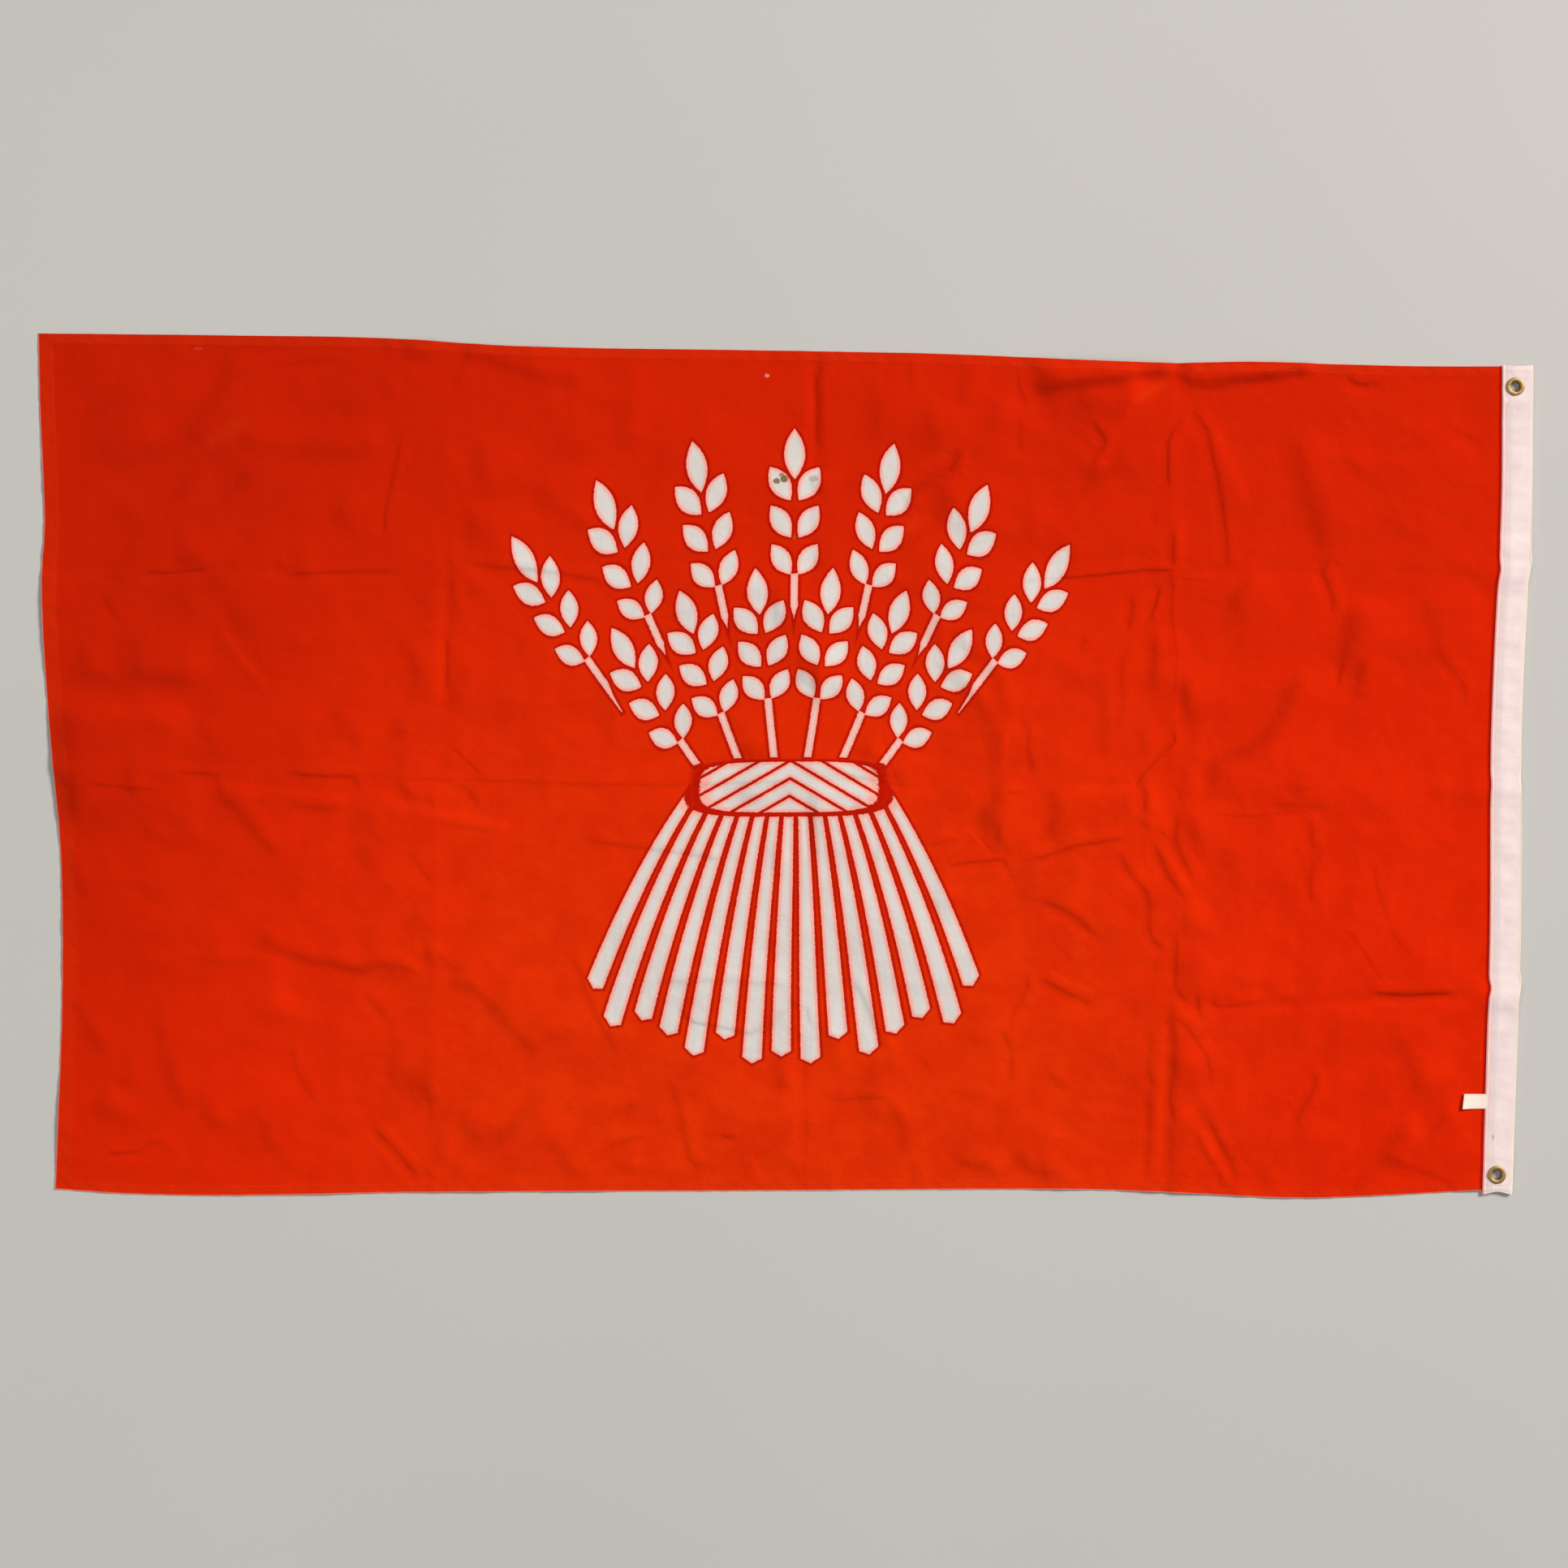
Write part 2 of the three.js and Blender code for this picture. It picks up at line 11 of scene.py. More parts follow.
# %% Load the frame
import bpy
import numpy as np
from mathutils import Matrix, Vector


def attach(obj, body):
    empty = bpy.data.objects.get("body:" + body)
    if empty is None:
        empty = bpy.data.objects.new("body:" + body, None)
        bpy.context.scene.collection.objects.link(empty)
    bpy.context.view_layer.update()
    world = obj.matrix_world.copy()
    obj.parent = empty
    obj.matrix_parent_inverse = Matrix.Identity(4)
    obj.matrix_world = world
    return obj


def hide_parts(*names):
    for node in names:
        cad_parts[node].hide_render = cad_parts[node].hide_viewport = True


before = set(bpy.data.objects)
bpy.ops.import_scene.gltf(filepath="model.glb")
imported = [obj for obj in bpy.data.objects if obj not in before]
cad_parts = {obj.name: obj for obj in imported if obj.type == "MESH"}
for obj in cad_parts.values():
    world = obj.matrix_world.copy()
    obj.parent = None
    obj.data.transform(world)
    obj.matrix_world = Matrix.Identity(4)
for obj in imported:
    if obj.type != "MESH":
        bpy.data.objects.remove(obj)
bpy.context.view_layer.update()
MM = 0.001
print("solids:", sorted(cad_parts))

# %% [markdown]
# ## Camera
#
# The photo was taken from straight above, and one of its pixels is 0.84 mm on the cloth. A camera
# could be tilted and corrected afterwards; here it simply looks down from three metres, and the
# lens is worked out from the width of ground that the photo shows.

# %% Camera
PHOTO_WIDTH_PX = 1932
PIXEL_SIZE = 0.84
CAMERA_HEIGHT = 3.0
CAMERA_AIM = (-1.3, -18.9)
SENSOR = 36.0


def make_camera():
    """A camera that looks straight down; lens = sensor * height / width of ground in view."""
    camera = bpy.data.cameras.new("camera")
    seen = PHOTO_WIDTH_PX * PIXEL_SIZE * MM
    camera.sensor_width = SENSOR
    camera.lens = SENSOR * CAMERA_HEIGHT / seen
    holder = bpy.data.objects.new("camera", camera)
    holder.location = (CAMERA_AIM[0] * MM, CAMERA_AIM[1] * MM, CAMERA_HEIGHT)
    bpy.context.collection.objects.link(holder)
    bpy.context.scene.camera = holder
    return seen


print("ground in view, m:", round(make_camera(), 3))

# %% [markdown]
# ## Light and floor
#
# Daylight came from beyond the upper right corner, so each crease is dark on its lower left
# side. A sun would cut too hard, and a near lamp would light one corner more than the others. A
# large soft panel ten metres away shades every crease alike, and a weak one on the other side
# with a grey sky fills the shadows.

# %% Lamps and sky
LIGHT_TURN = np.radians(34)
LIGHT_HEIGHT = np.radians(33)
LIGHT_RUN = np.array([np.cos(LIGHT_TURN), np.sin(LIGHT_TURN)])
KEY_DISTANCE = 10
KEY_ALONG = KEY_DISTANCE * np.cos(LIGHT_HEIGHT)
KEY_PLACE = (*(KEY_ALONG * LIGHT_RUN), KEY_DISTANCE * np.sin(LIGHT_HEIGHT))
KEY = {"place": KEY_PLACE, "size": 3.0, "watts": 1120, "colour": (1.0, 0.985, 0.96)}
FILL = {"place": (-2.6, -0.8, 3.4), "size": 2.6, "watts": 48, "colour": (0.95, 0.98, 1.0)}
SKY = (0.93, 0.97, 1.0, 1.0)
SKY_STRENGTH = 0.22


def make_lamp(name, lamp):
    """A square soft panel that faces the middle of the flag."""
    data = bpy.data.lights.new(name, "AREA")
    data.energy = lamp["watts"]
    data.size = lamp["size"]
    data.color = lamp["colour"]
    holder = bpy.data.objects.new(name, data)
    holder.location = lamp["place"]
    holder.rotation_euler = (-Vector(lamp["place"])).to_track_quat("-Z", "Y").to_euler()
    bpy.context.collection.objects.link(holder)


make_lamp("key_light", KEY)
make_lamp("fill_light", FILL)
world = bpy.data.worlds.new("sky")
world.use_nodes = True
world.node_tree.nodes["Background"].inputs["Color"].default_value = SKY
world.node_tree.nodes["Background"].inputs["Strength"].default_value = SKY_STRENGTH
bpy.context.scene.world = world
bpy.context.scene.view_settings.view_transform = "Standard"
print("key lamp at, m:", [round(float(v), 2) for v in KEY_PLACE])

# %% [markdown]
# The floor is one large square, so that its edge never shows. It isn't part of the flag.

# %% Floor
FLOOR_HALF = 6.0

floor_mesh = bpy.data.meshes.new("floor")
floor_corners = [(-1, -1, 0), (1, -1, 0), (1, 1, 0), (-1, 1, 0)]
floor_mesh.from_pydata([Vector(c) * FLOOR_HALF for c in floor_corners], [], [(0, 1, 2, 3)])
floor = bpy.data.objects.new("floor", floor_mesh)
bpy.context.collection.objects.link(floor)
print("floor, m across:", 2 * FLOOR_HALF)

# %% [markdown]
# ## Lines of the plan
#
# Seen from above, the flag is a net of lines: its four edges, the seam of the heading and the six
# creases. None is quite straight, because the cloth shifted as it was spread. Each line is a few
# places read along it, joined by a smooth curve. A spline object could do it, but a formula can
# be asked for thousands of places at once.

# %% Smooth lines
FLY_EDGE = [
    [-438.1, -755.6], [-358, -752.2], [-215, -748.2], [-80, -750.6], [70, -764],
    [188, -769.6], [255, -766.8], [372, -771.5], [447.3, -773.2],
]
SEAM = [
    [-443.1, 720.7], [-265, 726.2], [-165, 728.7], [11, 729.5], [112, 732.9],
    [272, 740.5], [414.5, 741.3],
]
HEADING_EDGE = [
    [-443.9, 751.4], [-215, 759.8], [-98, 761.5], [36, 761.5], [137, 765.7],
    [238, 771.5], [414.5, 773.2],
]
TOP_EDGE = [
    [-773.2, 447.3], [-577, 445.2], [-426, 442.7], [-275, 433.9], [-23, 429.7],
    [178, 425.5], [380, 416.6], [481, 417.5], [632, 413.7], [741, 412.9],
]
BOTTOM_EDGE = [
    [-755.6, -438.1], [-678, -443.1], [-577, -444.8], [-376, -441.4], [-23, -439.7],
    [279, -438.1], [380, -440.6], [531, -447.3], [632, -443.9], [721, -438.9],
]
UPRIGHT_CREASES = [
    [[-441, -366], [-300, -363], [-80, -361], [60, -353], [200, -351], [443, -352]],
    [[-440, 17], [-250, 18], [0, 27], [200, 31], [430, 31]],
    [[-441, 394], [-250, 401], [-150, 405], [20, 402], [200, 402], [417, 400]],
]
LEVEL_CREASES = [
    [[-768, 206], [-600, 202], [-352, 206], [-190, 191], [31, 193], [245, 189],
     [402, 202], [735, 194]],
    [[-757, -2], [-600, -6], [-357, -9], [-200, -18], [120, -18], [402, -20], [728, -27]],
    [[-748, -206], [-540, -200], [-361, -221], [0, -227], [250, -224], [402, -247],
     [724, -238]],
]


def smooth_line(points):
    """A curve through [place, value] points, for whole arrays of places.

    With f from 0 to 1 between two points: value = start + rise * f + f * (1 - f) * pull, where
    pull carries the slopes at both ends, and each slope is that from one neighbour to the other.
    """
    places, values = np.array(points, float).T
    last = len(places) - 1
    before = np.maximum(np.arange(last + 1) - 1, 0)
    after = np.minimum(np.arange(last + 1) + 1, last)
    slopes = (values[after] - values[before]) / (places[after] - places[before])

    def line(place):
        i = np.clip(np.searchsorted(places, place, side="right") - 1, 0, last - 1)
        span = places[i + 1] - places[i]
        rise = values[i + 1] - values[i]
        f = np.clip((place - places[i]) / span, 0, 1)
        pull = (1 - f) * (slopes[i] * span - rise) - f * (slopes[i + 1] * span - rise)
        return values[i] + rise * f + f * (1 - f) * pull

    return line


def smooth_step(value, low, high):
    """0 below low, 1 above high, and f * f * (3 - 2 * f) between them."""
    f = np.clip((value - low) / (high - low), 0, 1)
    return f * f * (3 - 2 * f)


print("fly edge half way up, mm:", round(float(smooth_line(FLY_EDGE)(0.0)), 1))

# %% [markdown]
# The canvas is stiff, so where a level crease crosses the heading its two long edges jog aside by
# a millimetre or two. These jogs are bumps added to the seam and to the outer edge.

# %% Edges with their jogs
SEAM_JOGS = [[-230, 2.2, 7], [203, 1.6, 9], [-18, 0.8, 8]]
EDGE_JOGS = [[-224, 1.6, 8], [212, 1.6, 9], [-248, -1.0, 8], [-14, -0.9, 9], [188, -1.2, 10]]


def with_jogs(line, jogs):
    """The line plus a bell-shaped bump for each [place, height, half width]."""

    def jogged(place):
        bumps = [h * np.exp(-(((place - at) / w) ** 2)) for at, h, w in jogs]
        return line(place) + sum(bumps)

    return jogged


seam_at = with_jogs(smooth_line(SEAM), SEAM_JOGS)
heading_edge_at = with_jogs(smooth_line(HEADING_EDGE), EDGE_JOGS)
upright_lines = [smooth_line(line) for line in [FLY_EDGE, *UPRIGHT_CREASES]] + [seam_at]
level_lines = [smooth_line(line) for line in [TOP_EDGE, *LEVEL_CREASES, BOTTOM_EDGE]]
seam_places = np.linspace(SEAM[0][0], SEAM[-1][0], 200)
heading_widths = heading_edge_at(seam_places) - seam_at(seam_places)
print("mean width of the heading, mm:", round(float(heading_widths.mean()), 1))

# %% [markdown]
# ## From counts of panels to the plan
#
# The folding made four panels across and four down. A point of the cloth is named by how many
# panels lie to its left and above it, and its place is where its two lines cross. Because the
# weave followed the folding too, the same counts, times a panel's width, are the place on the
# flat cloth before it was ever creased, which the printed figure needs later.

# %% Plan of the cloth
PANELS = 4
PLAN_PASSES = 5


def between(lines, count, place):
    """The value at a place between lines i and i + 1 of a family, at a count of i + f."""
    i = np.clip(np.floor(count).astype(int), 0, len(lines) - 2)
    values = np.array([line(place) for line in lines])
    low = np.take_along_axis(values, i[None], 0)[0]
    high = np.take_along_axis(values, i[None] + 1, 0)[0]
    return low + (high - low) * (count - i)


def plan_of(across, down, past_seam=0.0):
    """Where the lines at two counts of panels cross, by going back and forth between them."""
    x = FLY_EDGE[0][1] + (SEAM[0][1] - FLY_EDGE[0][1]) * across / PANELS
    for _ in range(PLAN_PASSES):
        y = between(level_lines, down, x)
        x = between(upright_lines, across, y) + past_seam
    return x, y


fly_panel = np.ptp(plan_of(np.array([0.0, 1.0]), np.array([2.0, 2.0]))[0])
edge_panel = np.ptp(plan_of(np.array([2.0, 2.0]), np.array([0.0, 1.0]))[1])
print("outer panels, mm:", round(fly_panel), "by", round(edge_panel))

# %% [markdown]
# ## Folds
#
# Each of the six folding lines is a low soft ridge, or a trough, along its given line. A
# cloth simulation could crumple a sheet, but never along these lines. Where they meet, the
# higher one wins, blended softly. A positive height is a ridge, a negative one a trough between
# two low swells.

# %% Main folds
UPRIGHT_STRETCHES = [
    [[0.7, 10], [0.9, 10], [-1.1, 12], [0.6, 10]],
    [[0.8, 10], [0.9, 10], [0.8, 10], [-1.3, 12]],
    [[-1.4, 12], [1.6, 11], [1.3, 10], [1.2, 10]],
]
LEVEL_STRETCHES = [
    [[-0.9, 12], [1.0, 11], [0.8, 10], [-0.9, 11]],
    [[1.0, 10], [0.8, 10], [-0.8, 10], [0.7, 10]],
    [[1.0, 12], [0.8, 10], [1.0, 10], [-1.2, 12]],
]
CREST_ROUNDING = 2.5
BLEND_POWER = 3
SETTLE = 0.2
STRETCH_STEPS = 6


def crease_line(upright, crease, stretch):
    """The points of a crease between two of its crossings."""
    along = stretch + np.linspace(0, 1, STRETCH_STEPS + 1)
    fixed = np.full_like(along, crease)
    x, y = plan_of(fixed, along) if upright else plan_of(along, fixed)
    return np.stack([x, y], axis=1)


def main_folds():
    """Every stretch of the six folding lines, as its height, half width and line."""
    folds = []
    for crease in range(1, PANELS):
        for stretch in range(PANELS):
            up = UPRIGHT_STRETCHES[crease - 1][PANELS - 1 - stretch]
            folds.append((*up, crease_line(True, crease, stretch)))
            level = LEVEL_STRETCHES[crease - 1][stretch]
            folds.append((*level, crease_line(False, crease, stretch)))
    return folds


FOLDS = main_folds()
print("main folds:", len(FOLDS))

# %% [markdown]
# Everywhere between the folding lines lie small creases: soft steps and pinches where the cloth
# once buckled. A scanned height map would hold them, but here each one is listed, as a
# strength of up to 4, the width of its slope and the places it runs through. A positive one
# turns its slope away from the light and looks dark, and a negative one turns it to the light.

# %% Small creases
CREASES = [
    [4, 10, 258, 386, 290, 393, 330, 398, 380, 405, 402, 408],
    [-4, 9, 268, 408, 310, 411, 365, 412],
    [4, 9, 405, 403, 425, 395, 440, 393, 460, 397, 495, 402, 550, 407],
    [-4, 6, 425, 408, 470, 411, 515, 411],
    [4, 6, 580, 403, 590, 396, 602, 394, 615, 400],
    [-2, 14, 300, 388, 340, 386, 385, 396],
    [4, 4.5, 412, 352, 402, 346, 397, 335, 396, 310, 397, 288],
    [4, 6, 423, 366, 438, 345, 440, 330, 450, 285, 455, 240, 458, 206],
    [-4, 9, 442, 350, 458, 320, 470, 290, 477, 263],
    [3.2, 22, 537, 348, 530, 325, 535, 298, 547, 268, 554, 240, 560, 214],
    [2, 6, 584, 373, 592, 360, 599, 349],
    [1.6, 6, 616, 318, 628, 325, 655, 333, 668, 340, 676, 351],
    [2, 5, 677, 358, 690, 350, 705, 342, 722, 332],
    [2.5, 8, 575, 327, 590, 305, 600, 298, 618, 285],
    [2, 10, 618, 257, 635, 245, 650, 237, 675, 217],
    [1.6, 5, 648, 264, 661, 249],
    [2, 6, 384, 264, 380, 246],
    [-3, 8, 398, 400, 380, 388, 360, 376],
    [4, 6, 401, 246, 401, 203],
    [-2, 8, 409, 244, 407, 214],
    [4, 4, 283, 195, 330, 198, 370, 203, 401, 203],
    [2, 5, 248, 191, 284, 195],
    [2, 4, 409, 195, 425, 194, 445, 191],
    [4, 4.5, 389, 186, 383, 165, 376, 150],
    [4, 9, 380, 142, 381, 120, 382, 100, 375, 83],
    [3, 3.5, 402, 192, 400, 160, 401, 140, 404, 112, 403, 78],
    [4, 9, 411, 95, 412, 75, 416, 60, 419, 45],
    [3.5, 7, 361, 177, 359, 158, 353, 138],
    [2.5, 6, 356, 122, 349, 105, 348, 85, 350, 65, 348, 50, 344, 36],
    [4, 4, 403, 36, 403, 24, 390, 12, 375, -5, 362, -21],
    [2, 12, 371, 46, 369, 25, 367, 2],
    [3.6, 12, 436, -5, 450, 5, 470, 13, 490, 24, 503, 34, 511, 52, 524, 76, 534, 97],
    [4, 7, 564, 212, 556, 200, 562, 188, 567, 172, 566, 158],
    [3, 4, 568, 213, 575, 205],
    [4, 20, 586, 163, 588, 148, 584, 132],
    [4, 13, 583, 140, 580, 120, 577, 103],
    [4, 5, 577, 108, 575, 95, 572, 83],
    [2.7, 9, 592, 203, 603, 196, 606, 183],
    [4, 9, 603, 114, 596, 98, 593, 82, 592, 68],
    [2.2, 12, 594, 66, 595, 50, 598, 25, 597, 0],
    [1.6, 6, 621, 47, 615, 28],
    [2.6, 11, 662, 174, 666, 152, 673, 138, 680, 112],
    [2.6, 7, 678, 116, 690, 100, 701, 89, 706, 66],
    [1.8, 13, 477, 204, 479, 190, 468, 178, 459, 160],
    [-1.6, 8, 548, 192, 552, 168],
    [4, 7, 371, -18, 372, -35, 373, -52],
    [3, 4, 401, -17, 408, -28, 411, -42],
    [2.4, 14, 412, -30, 425, -32],
    [3, 12, 440, 2, 440, -15, 441, -37],
    [4, 14, 406, -44, 413, -55, 421, -68, 428, -82],
    [4, 6, 405, -52, 404, -75, 409, -92, 419, -114],
    [3, 7, 363, -53, 373, -62, 379, -70],
    [3, 4, 387, -67, 395, -76],
    [2, 6, 372, -73, 370, -97],
    [4, 7, 381, -78, 388, -95, 396, -114, 408, -130, 414, -142],
    [4, 14, 413, -138, 413, -160, 411, -180],
    [4, 5, 405, -176, 404, -205, 404, -232],
    [3, 20, 414, -176, 415, -205, 416, -238],
    [4, 6, 346, -90, 354, -108, 366, -121, 376, -134, 377, -152, 376, -168, 381, -180, 394, -191],
    [2, 14, 370, -128, 373, -142],
    [4, 5, 404, -229, 410, -238, 419, -247],
    [-3, 12, 386, -26, 384, -45, 391, -56, 402, -68],
    [-2.2, 6, 384, -74, 395, -95, 406, -111, 417, -127],
    [-2, 10, 392, -138, 396, -172],
    [-1.6, 8, 430, -58, 432, -92],
    [1.7, 4, 448, -52, 480, -53, 505, -50, 542, -47],
    [2.5, 7, 503, -40, 530, -42, 562, -42],
    [2.5, 10, 527, -13, 533, -25, 532, -37],
    [3, 6, 543, -53, 545, -75, 547, -88],
    [3, 7, 557, -91, 550, -102, 544, -112, 543, -125, 545, -142],
    [2, 16, 456, -74, 459, -105, 457, -147],
    [1.8, 6, 586, -58, 590, -72],
    [2.4, 5, 610, -103, 611, -122, 620, -150, 632, -178, 651, -202],
    [2.5, 4.5, 573, -168, 587, -175, 602, -198, 619, -224],
    [2, 7, 464, -216, 472, -228, 502, -225],
    [4, 6, 608, -235, 640, -238, 680, -236, 692, -235],
    [2.2, 10, 664, -13, 670, -30, 682, -39],
    [4, 9, 406, -246, 400, -258, 399, -275, 402, -292],
    [4, 12, 402, -288, 401, -310, 401, -332],
    [4, 6, 400, -328, 398, -345, 403, -368],
    [2, 8, 397, -352, 396, -380, 397, -408],
    [-2, 6, 392, -262, 389, -330, 388, -402],
    [4, 6, 425, -233, 431, -262],
    [3.5, 5, 404, -261, 415, -270, 430, -292, 437, -302, 442, -330],
    [2.5, 5, 438, -244, 450, -249, 475, -247, 490, -243],
    [2.2, 8, 506, -242, 520, -240, 530, -250, 539, -260],
    [2.5, 8, 571, -246, 571, -275, 565, -285, 562, -320],
    [3, 7, 551, -316, 548, -330, 542, -345, 527, -372],
    [3, 16, 629, -266, 633, -280, 648, -305, 655, -330, 661, -348],
    [1.6, 6, 674, -336, 692, -327],
    [2.5, 8, 690, -350, 680, -365, 672, -375, 663, -390],
    [2.8, 12, 647, -363, 635, -378, 617, -402, 615, -414],
    [2.5, 8, 602, -423, 592, -430, 584, -438],
    [4, 7, 438, -366, 450, -390, 457, -403, 469, -427],
    [2.5, 14, 429, -348, 441, -374],
    [3, 6, 424, -380, 432, -395, 446, -417],
    [3, 6, 449, -416, 451, -437],
    [-3, 8, 411, -348, 425, -370, 437, -390, 451, -417],
    [2.5, 7, 377, -272, 376, -320, 380, -330, 377, -345, 377, -380, 374, -432],
    [2, 6, 366, -247, 357, -267],
    [1.6, 12, 500, -368, 500, -395, 511, -401],
    [1.6, 10, 704, -260, 710, -282],
    [3.5, 7, 39, 417, 33, 400, 34, 380, 33, 328],
    [-2.2, 5, 28, 405, 28, 330, 25, 306],
    [4, 9, 32, 304, 30, 295, 35, 282],
    [2, 6, 30, 276, 28, 240, 31, 200],
    [1.8, 20, 83, 392, 97, 378, 95, 358, 92, 338],
    [2.5, 6, 129, 420, 130, 388],
    [2.5, 20, 150, 372, 152, 350, 150, 332],
    [2.8, 9, 188, 418, 188, 400, 179, 376],
    [2.5, 12, 223, 380, 215, 365, 208, 348],
    [3.5, 4, 241, 412, 241, 395, 249, 374],
    [1.6, 6, 243, 367, 243, 340, 245, 318],
    [4, 6, 319, 357, 325, 345, 332, 338, 330, 328, 315, 310],
    [2, 5, 358, 382, 350, 365, 344, 352],
    [-3, 8, 372, 397, 350, 360, 340, 335, 321, 298],
    [4, 10, 341, 306, 330, 303, 312, 287, 305, 278],
    [2.1, 10, 198, 313, 225, 308, 280, 303, 330, 302],
    [2.6, 16, 346, 332, 347, 310, 360, 290],
    [4, 7, 184, 321, 168, 303, 145, 292, 135, 285, 122, 263],
    [4, 6, 182, 320, 170, 307],
    [2.5, 24, 161, 290, 165, 270, 160, 255],
    [-2.6, 10, 152, 262, 135, 250, 110, 234],
    [2.1, 8, 146, 246, 130, 232, 116, 223],
    [2.5, 7, 84, 303, 70, 295, 59, 284],
    [2.2, 10, 256, 267, 253, 245, 249, 236],
    [1.6, 10, 176, 252, 185, 235, 187, 222],
    [-2, 10, 177, 331, 160, 320, 146, 309],
    [2.5, 5, 217, 216, 202, 207],
    [3.5, 9, 173, 137, 183, 125, 208, 103, 220, 90, 226, 60, 228, 48],
    [3, 11, 156, 162, 152, 138, 160, 110, 192, 78, 208, 52, 216, 28, 217, -6],
    [-2.6, 8, 150, 115, 175, 102, 210, 70, 223, 50],
    [-2, 6, 229, 42, 227, -4],
    [3, 7, 245, 52, 252, 35, 250, 20, 258, -10],
    [2.6, 6, 313, 134, 305, 120],
    [2, 12, 274, 117, 293, 93, 325, 75, 333, 45, 330, 20, 335, 3],
    [1.8, 16, 86, 37, 87, 20, 79, 3],
    [2.4, 3.5, 102, 37, 105, 15, 118, -20],
    [3.5, 11, 217, -12, 220, -30, 215, -42, 198, -56],
    [3, 4, 227, -28, 244, -26],
    [4, 10, 267, -18, 278, -35, 282, -48, 270, -74],
    [2.5, 4, 58, -6, 80, -12, 118, -20, 142, -20],
    [2, 8, 75, -23, 77, -47],
    [3, 5, 92, -91, 98, -98],
    [2.5, 5, 144, -83, 160, -80, 178, -75],
    [3.5, 4, 168, -103, 190, -100, 226, -96],
    [-3, 4, 188, -64, 200, -75, 214, -96],
    [3, 4, 202, -74, 210, -85, 219, -89],
    [3, 7, 220, -63, 218, -82],
    [3, 5, 225, -94, 236, -117],
    [-3, 10, 190, -18, 200, -40, 194, -57],
    [-2.5, 8, 236, -43, 230, -70, 232, -92],
    [3, 9, 254, -101, 260, -95, 272, -92],
    [3.5, 5, 256, -97, 280, -90, 300, -83, 335, -78, 350, -73],
    [2, 5, 350, -23, 350, -47],
    [4, 7, 263, -140, 275, -143, 300, -156, 323, -177],
    [2, 8, 237, -141, 254, -139, 266, -141],
    [1.9, 8, 315, -143, 325, -160, 325, -174],
    [1.9, 4, 277, -173, 282, -185, 301, -207],
    [2, 14, 150, -143, 165, -148, 184, -136],
    [2, 14, 207, -108, 217, -122],
    [-2, 8, 238, -173, 240, -197],
    [2.2, 10, 179, -193, 190, -212, 197, -216],
    [2.8, 8, 219, -207, 230, -215, 239, -221],
    [3, 6, 253, -218, 250, -232, 245, -247],
    [4, 7, 260, -219, 275, -226, 295, -238, 320, -248],
    [1.6, 5, 323, -235, 352, -234],
    [3.4, 7, 68, -219, 80, -238, 95, -270, 105, -296],
    [2.2, 12, 104, -292, 110, -310, 116, -327],
    [2.2, 4, 52, -347, 75, -343, 106, -343],
    [4, 8, 106, -343, 112, -355, 121, -377],
    [3, 9, 119, -373, 122, -395, 130, -412, 138, -437],
    [2, 18, 80, -357, 105, -360],
    [-1.6, 9, 129, -358, 141, -402],
    [2.8, 6, -2, -245, 8, -245, 13, -254],
    [2.8, 5, -112, -250, -98, -265, -60, -272, -35, -278, -18, -268, 0, -249],
    [3.5, 5, 21, -248, 24, -262, 28, -270],
    [2.4, 5, 20, -268, 20, -340, 21, -385, 20, -432],
    [-1.6, 10, 9, -300, 8, -350, 10, -422],
    [2.5, 10, 22, -368, 29, -377],
    [2.2, 10, 43, -308, 62, -308],
    [2.5, 12, -12, -325, 2, -328],
    [1.9, 11, 30, -273, 46, -281],
    [2.2, 7, 128, -294, 145, -305, 149, -320],
    [1.9, 14, 195, -258, 195, -292],
    [2.3, 7, 246, -236, 238, -255, 231, -272],
    [3.5, 7, 224, -273, 230, -285, 236, -298],
    [2.8, 6, 235, -297, 233, -327],
    [2.3, 9, 230, -333, 228, -350, 219, -382],
    [3.6, 8, 266, -315, 280, -325, 298, -340],
    [-2.5, 5, 279, -309, 291, -323],
    [2, 10, 279, -273, 289, -287],
    [1.6, 10, 254, -333, 263, -347],
    [4, 8, 175, -406, 195, -413, 205, -415, 219, -425],
    [-2.5, 8, 221, -403, 229, -422],
    [4, 11, 236, -396, 247, -415, 257, -424],
    [2.5, 10, 262, -424, 287, -422],
    [2, 7, 183, -346, 202, -339],
    [1.9, 14, 345, -383, 350, -400],
    [3, 8, -332, 422, -310, 421, -275, 411, -250, 401, -208, 396],
    [2.5, 8, -393, 420, -355, 425],
    [2, 12, -342, 399, -328, 392],
    [2.4, 16, -312, 342, -316, 320, -317, 282],
    [1.9, 28, -250, 318, -215, 324, -190, 343],
    [2, 12, -172, 340, -148, 338],
    [3, 12, -256, 290, -235, 265, -203, 244],
    [1.9, 20, -320, 268, -322, 250, -330, 238],
    [3.5, 7, -327, 210, -295, 206, -250, 201, -188, 191],
    [3, 5, -349, 213, -342, 206],
    [-2, 8, -355, 222, -353, 150, -357, 60],
    [4, 5, -350, 133, -349, 100, -350, 82],
    [2.2, 17, -337, 122, -334, 95, -340, 55],
    [2.5, 5, -345, 192, -343, 175, -336, 158],
    [2.1, 11, -331, 196, -309, 170],
    [3.5, 3.5, -346, 21, -335, 12, -314, -8],
    [2.6, 10, -412, 145, -400, 130, -385, 107, -378, 84],
    [2.2, 5, -382, 144, -368, 137],
    [3.2, 11, -406, 39, -387, 29],
    [2.2, 10, -400, 22, -400, -4],
    [2.1, 8, -276, 137, -264, 123],
    [1.8, 8, -185, 112, -189, 75, -180, 45, -182, 18],
    [-1.6, 8, -252, 106, -198, 69],
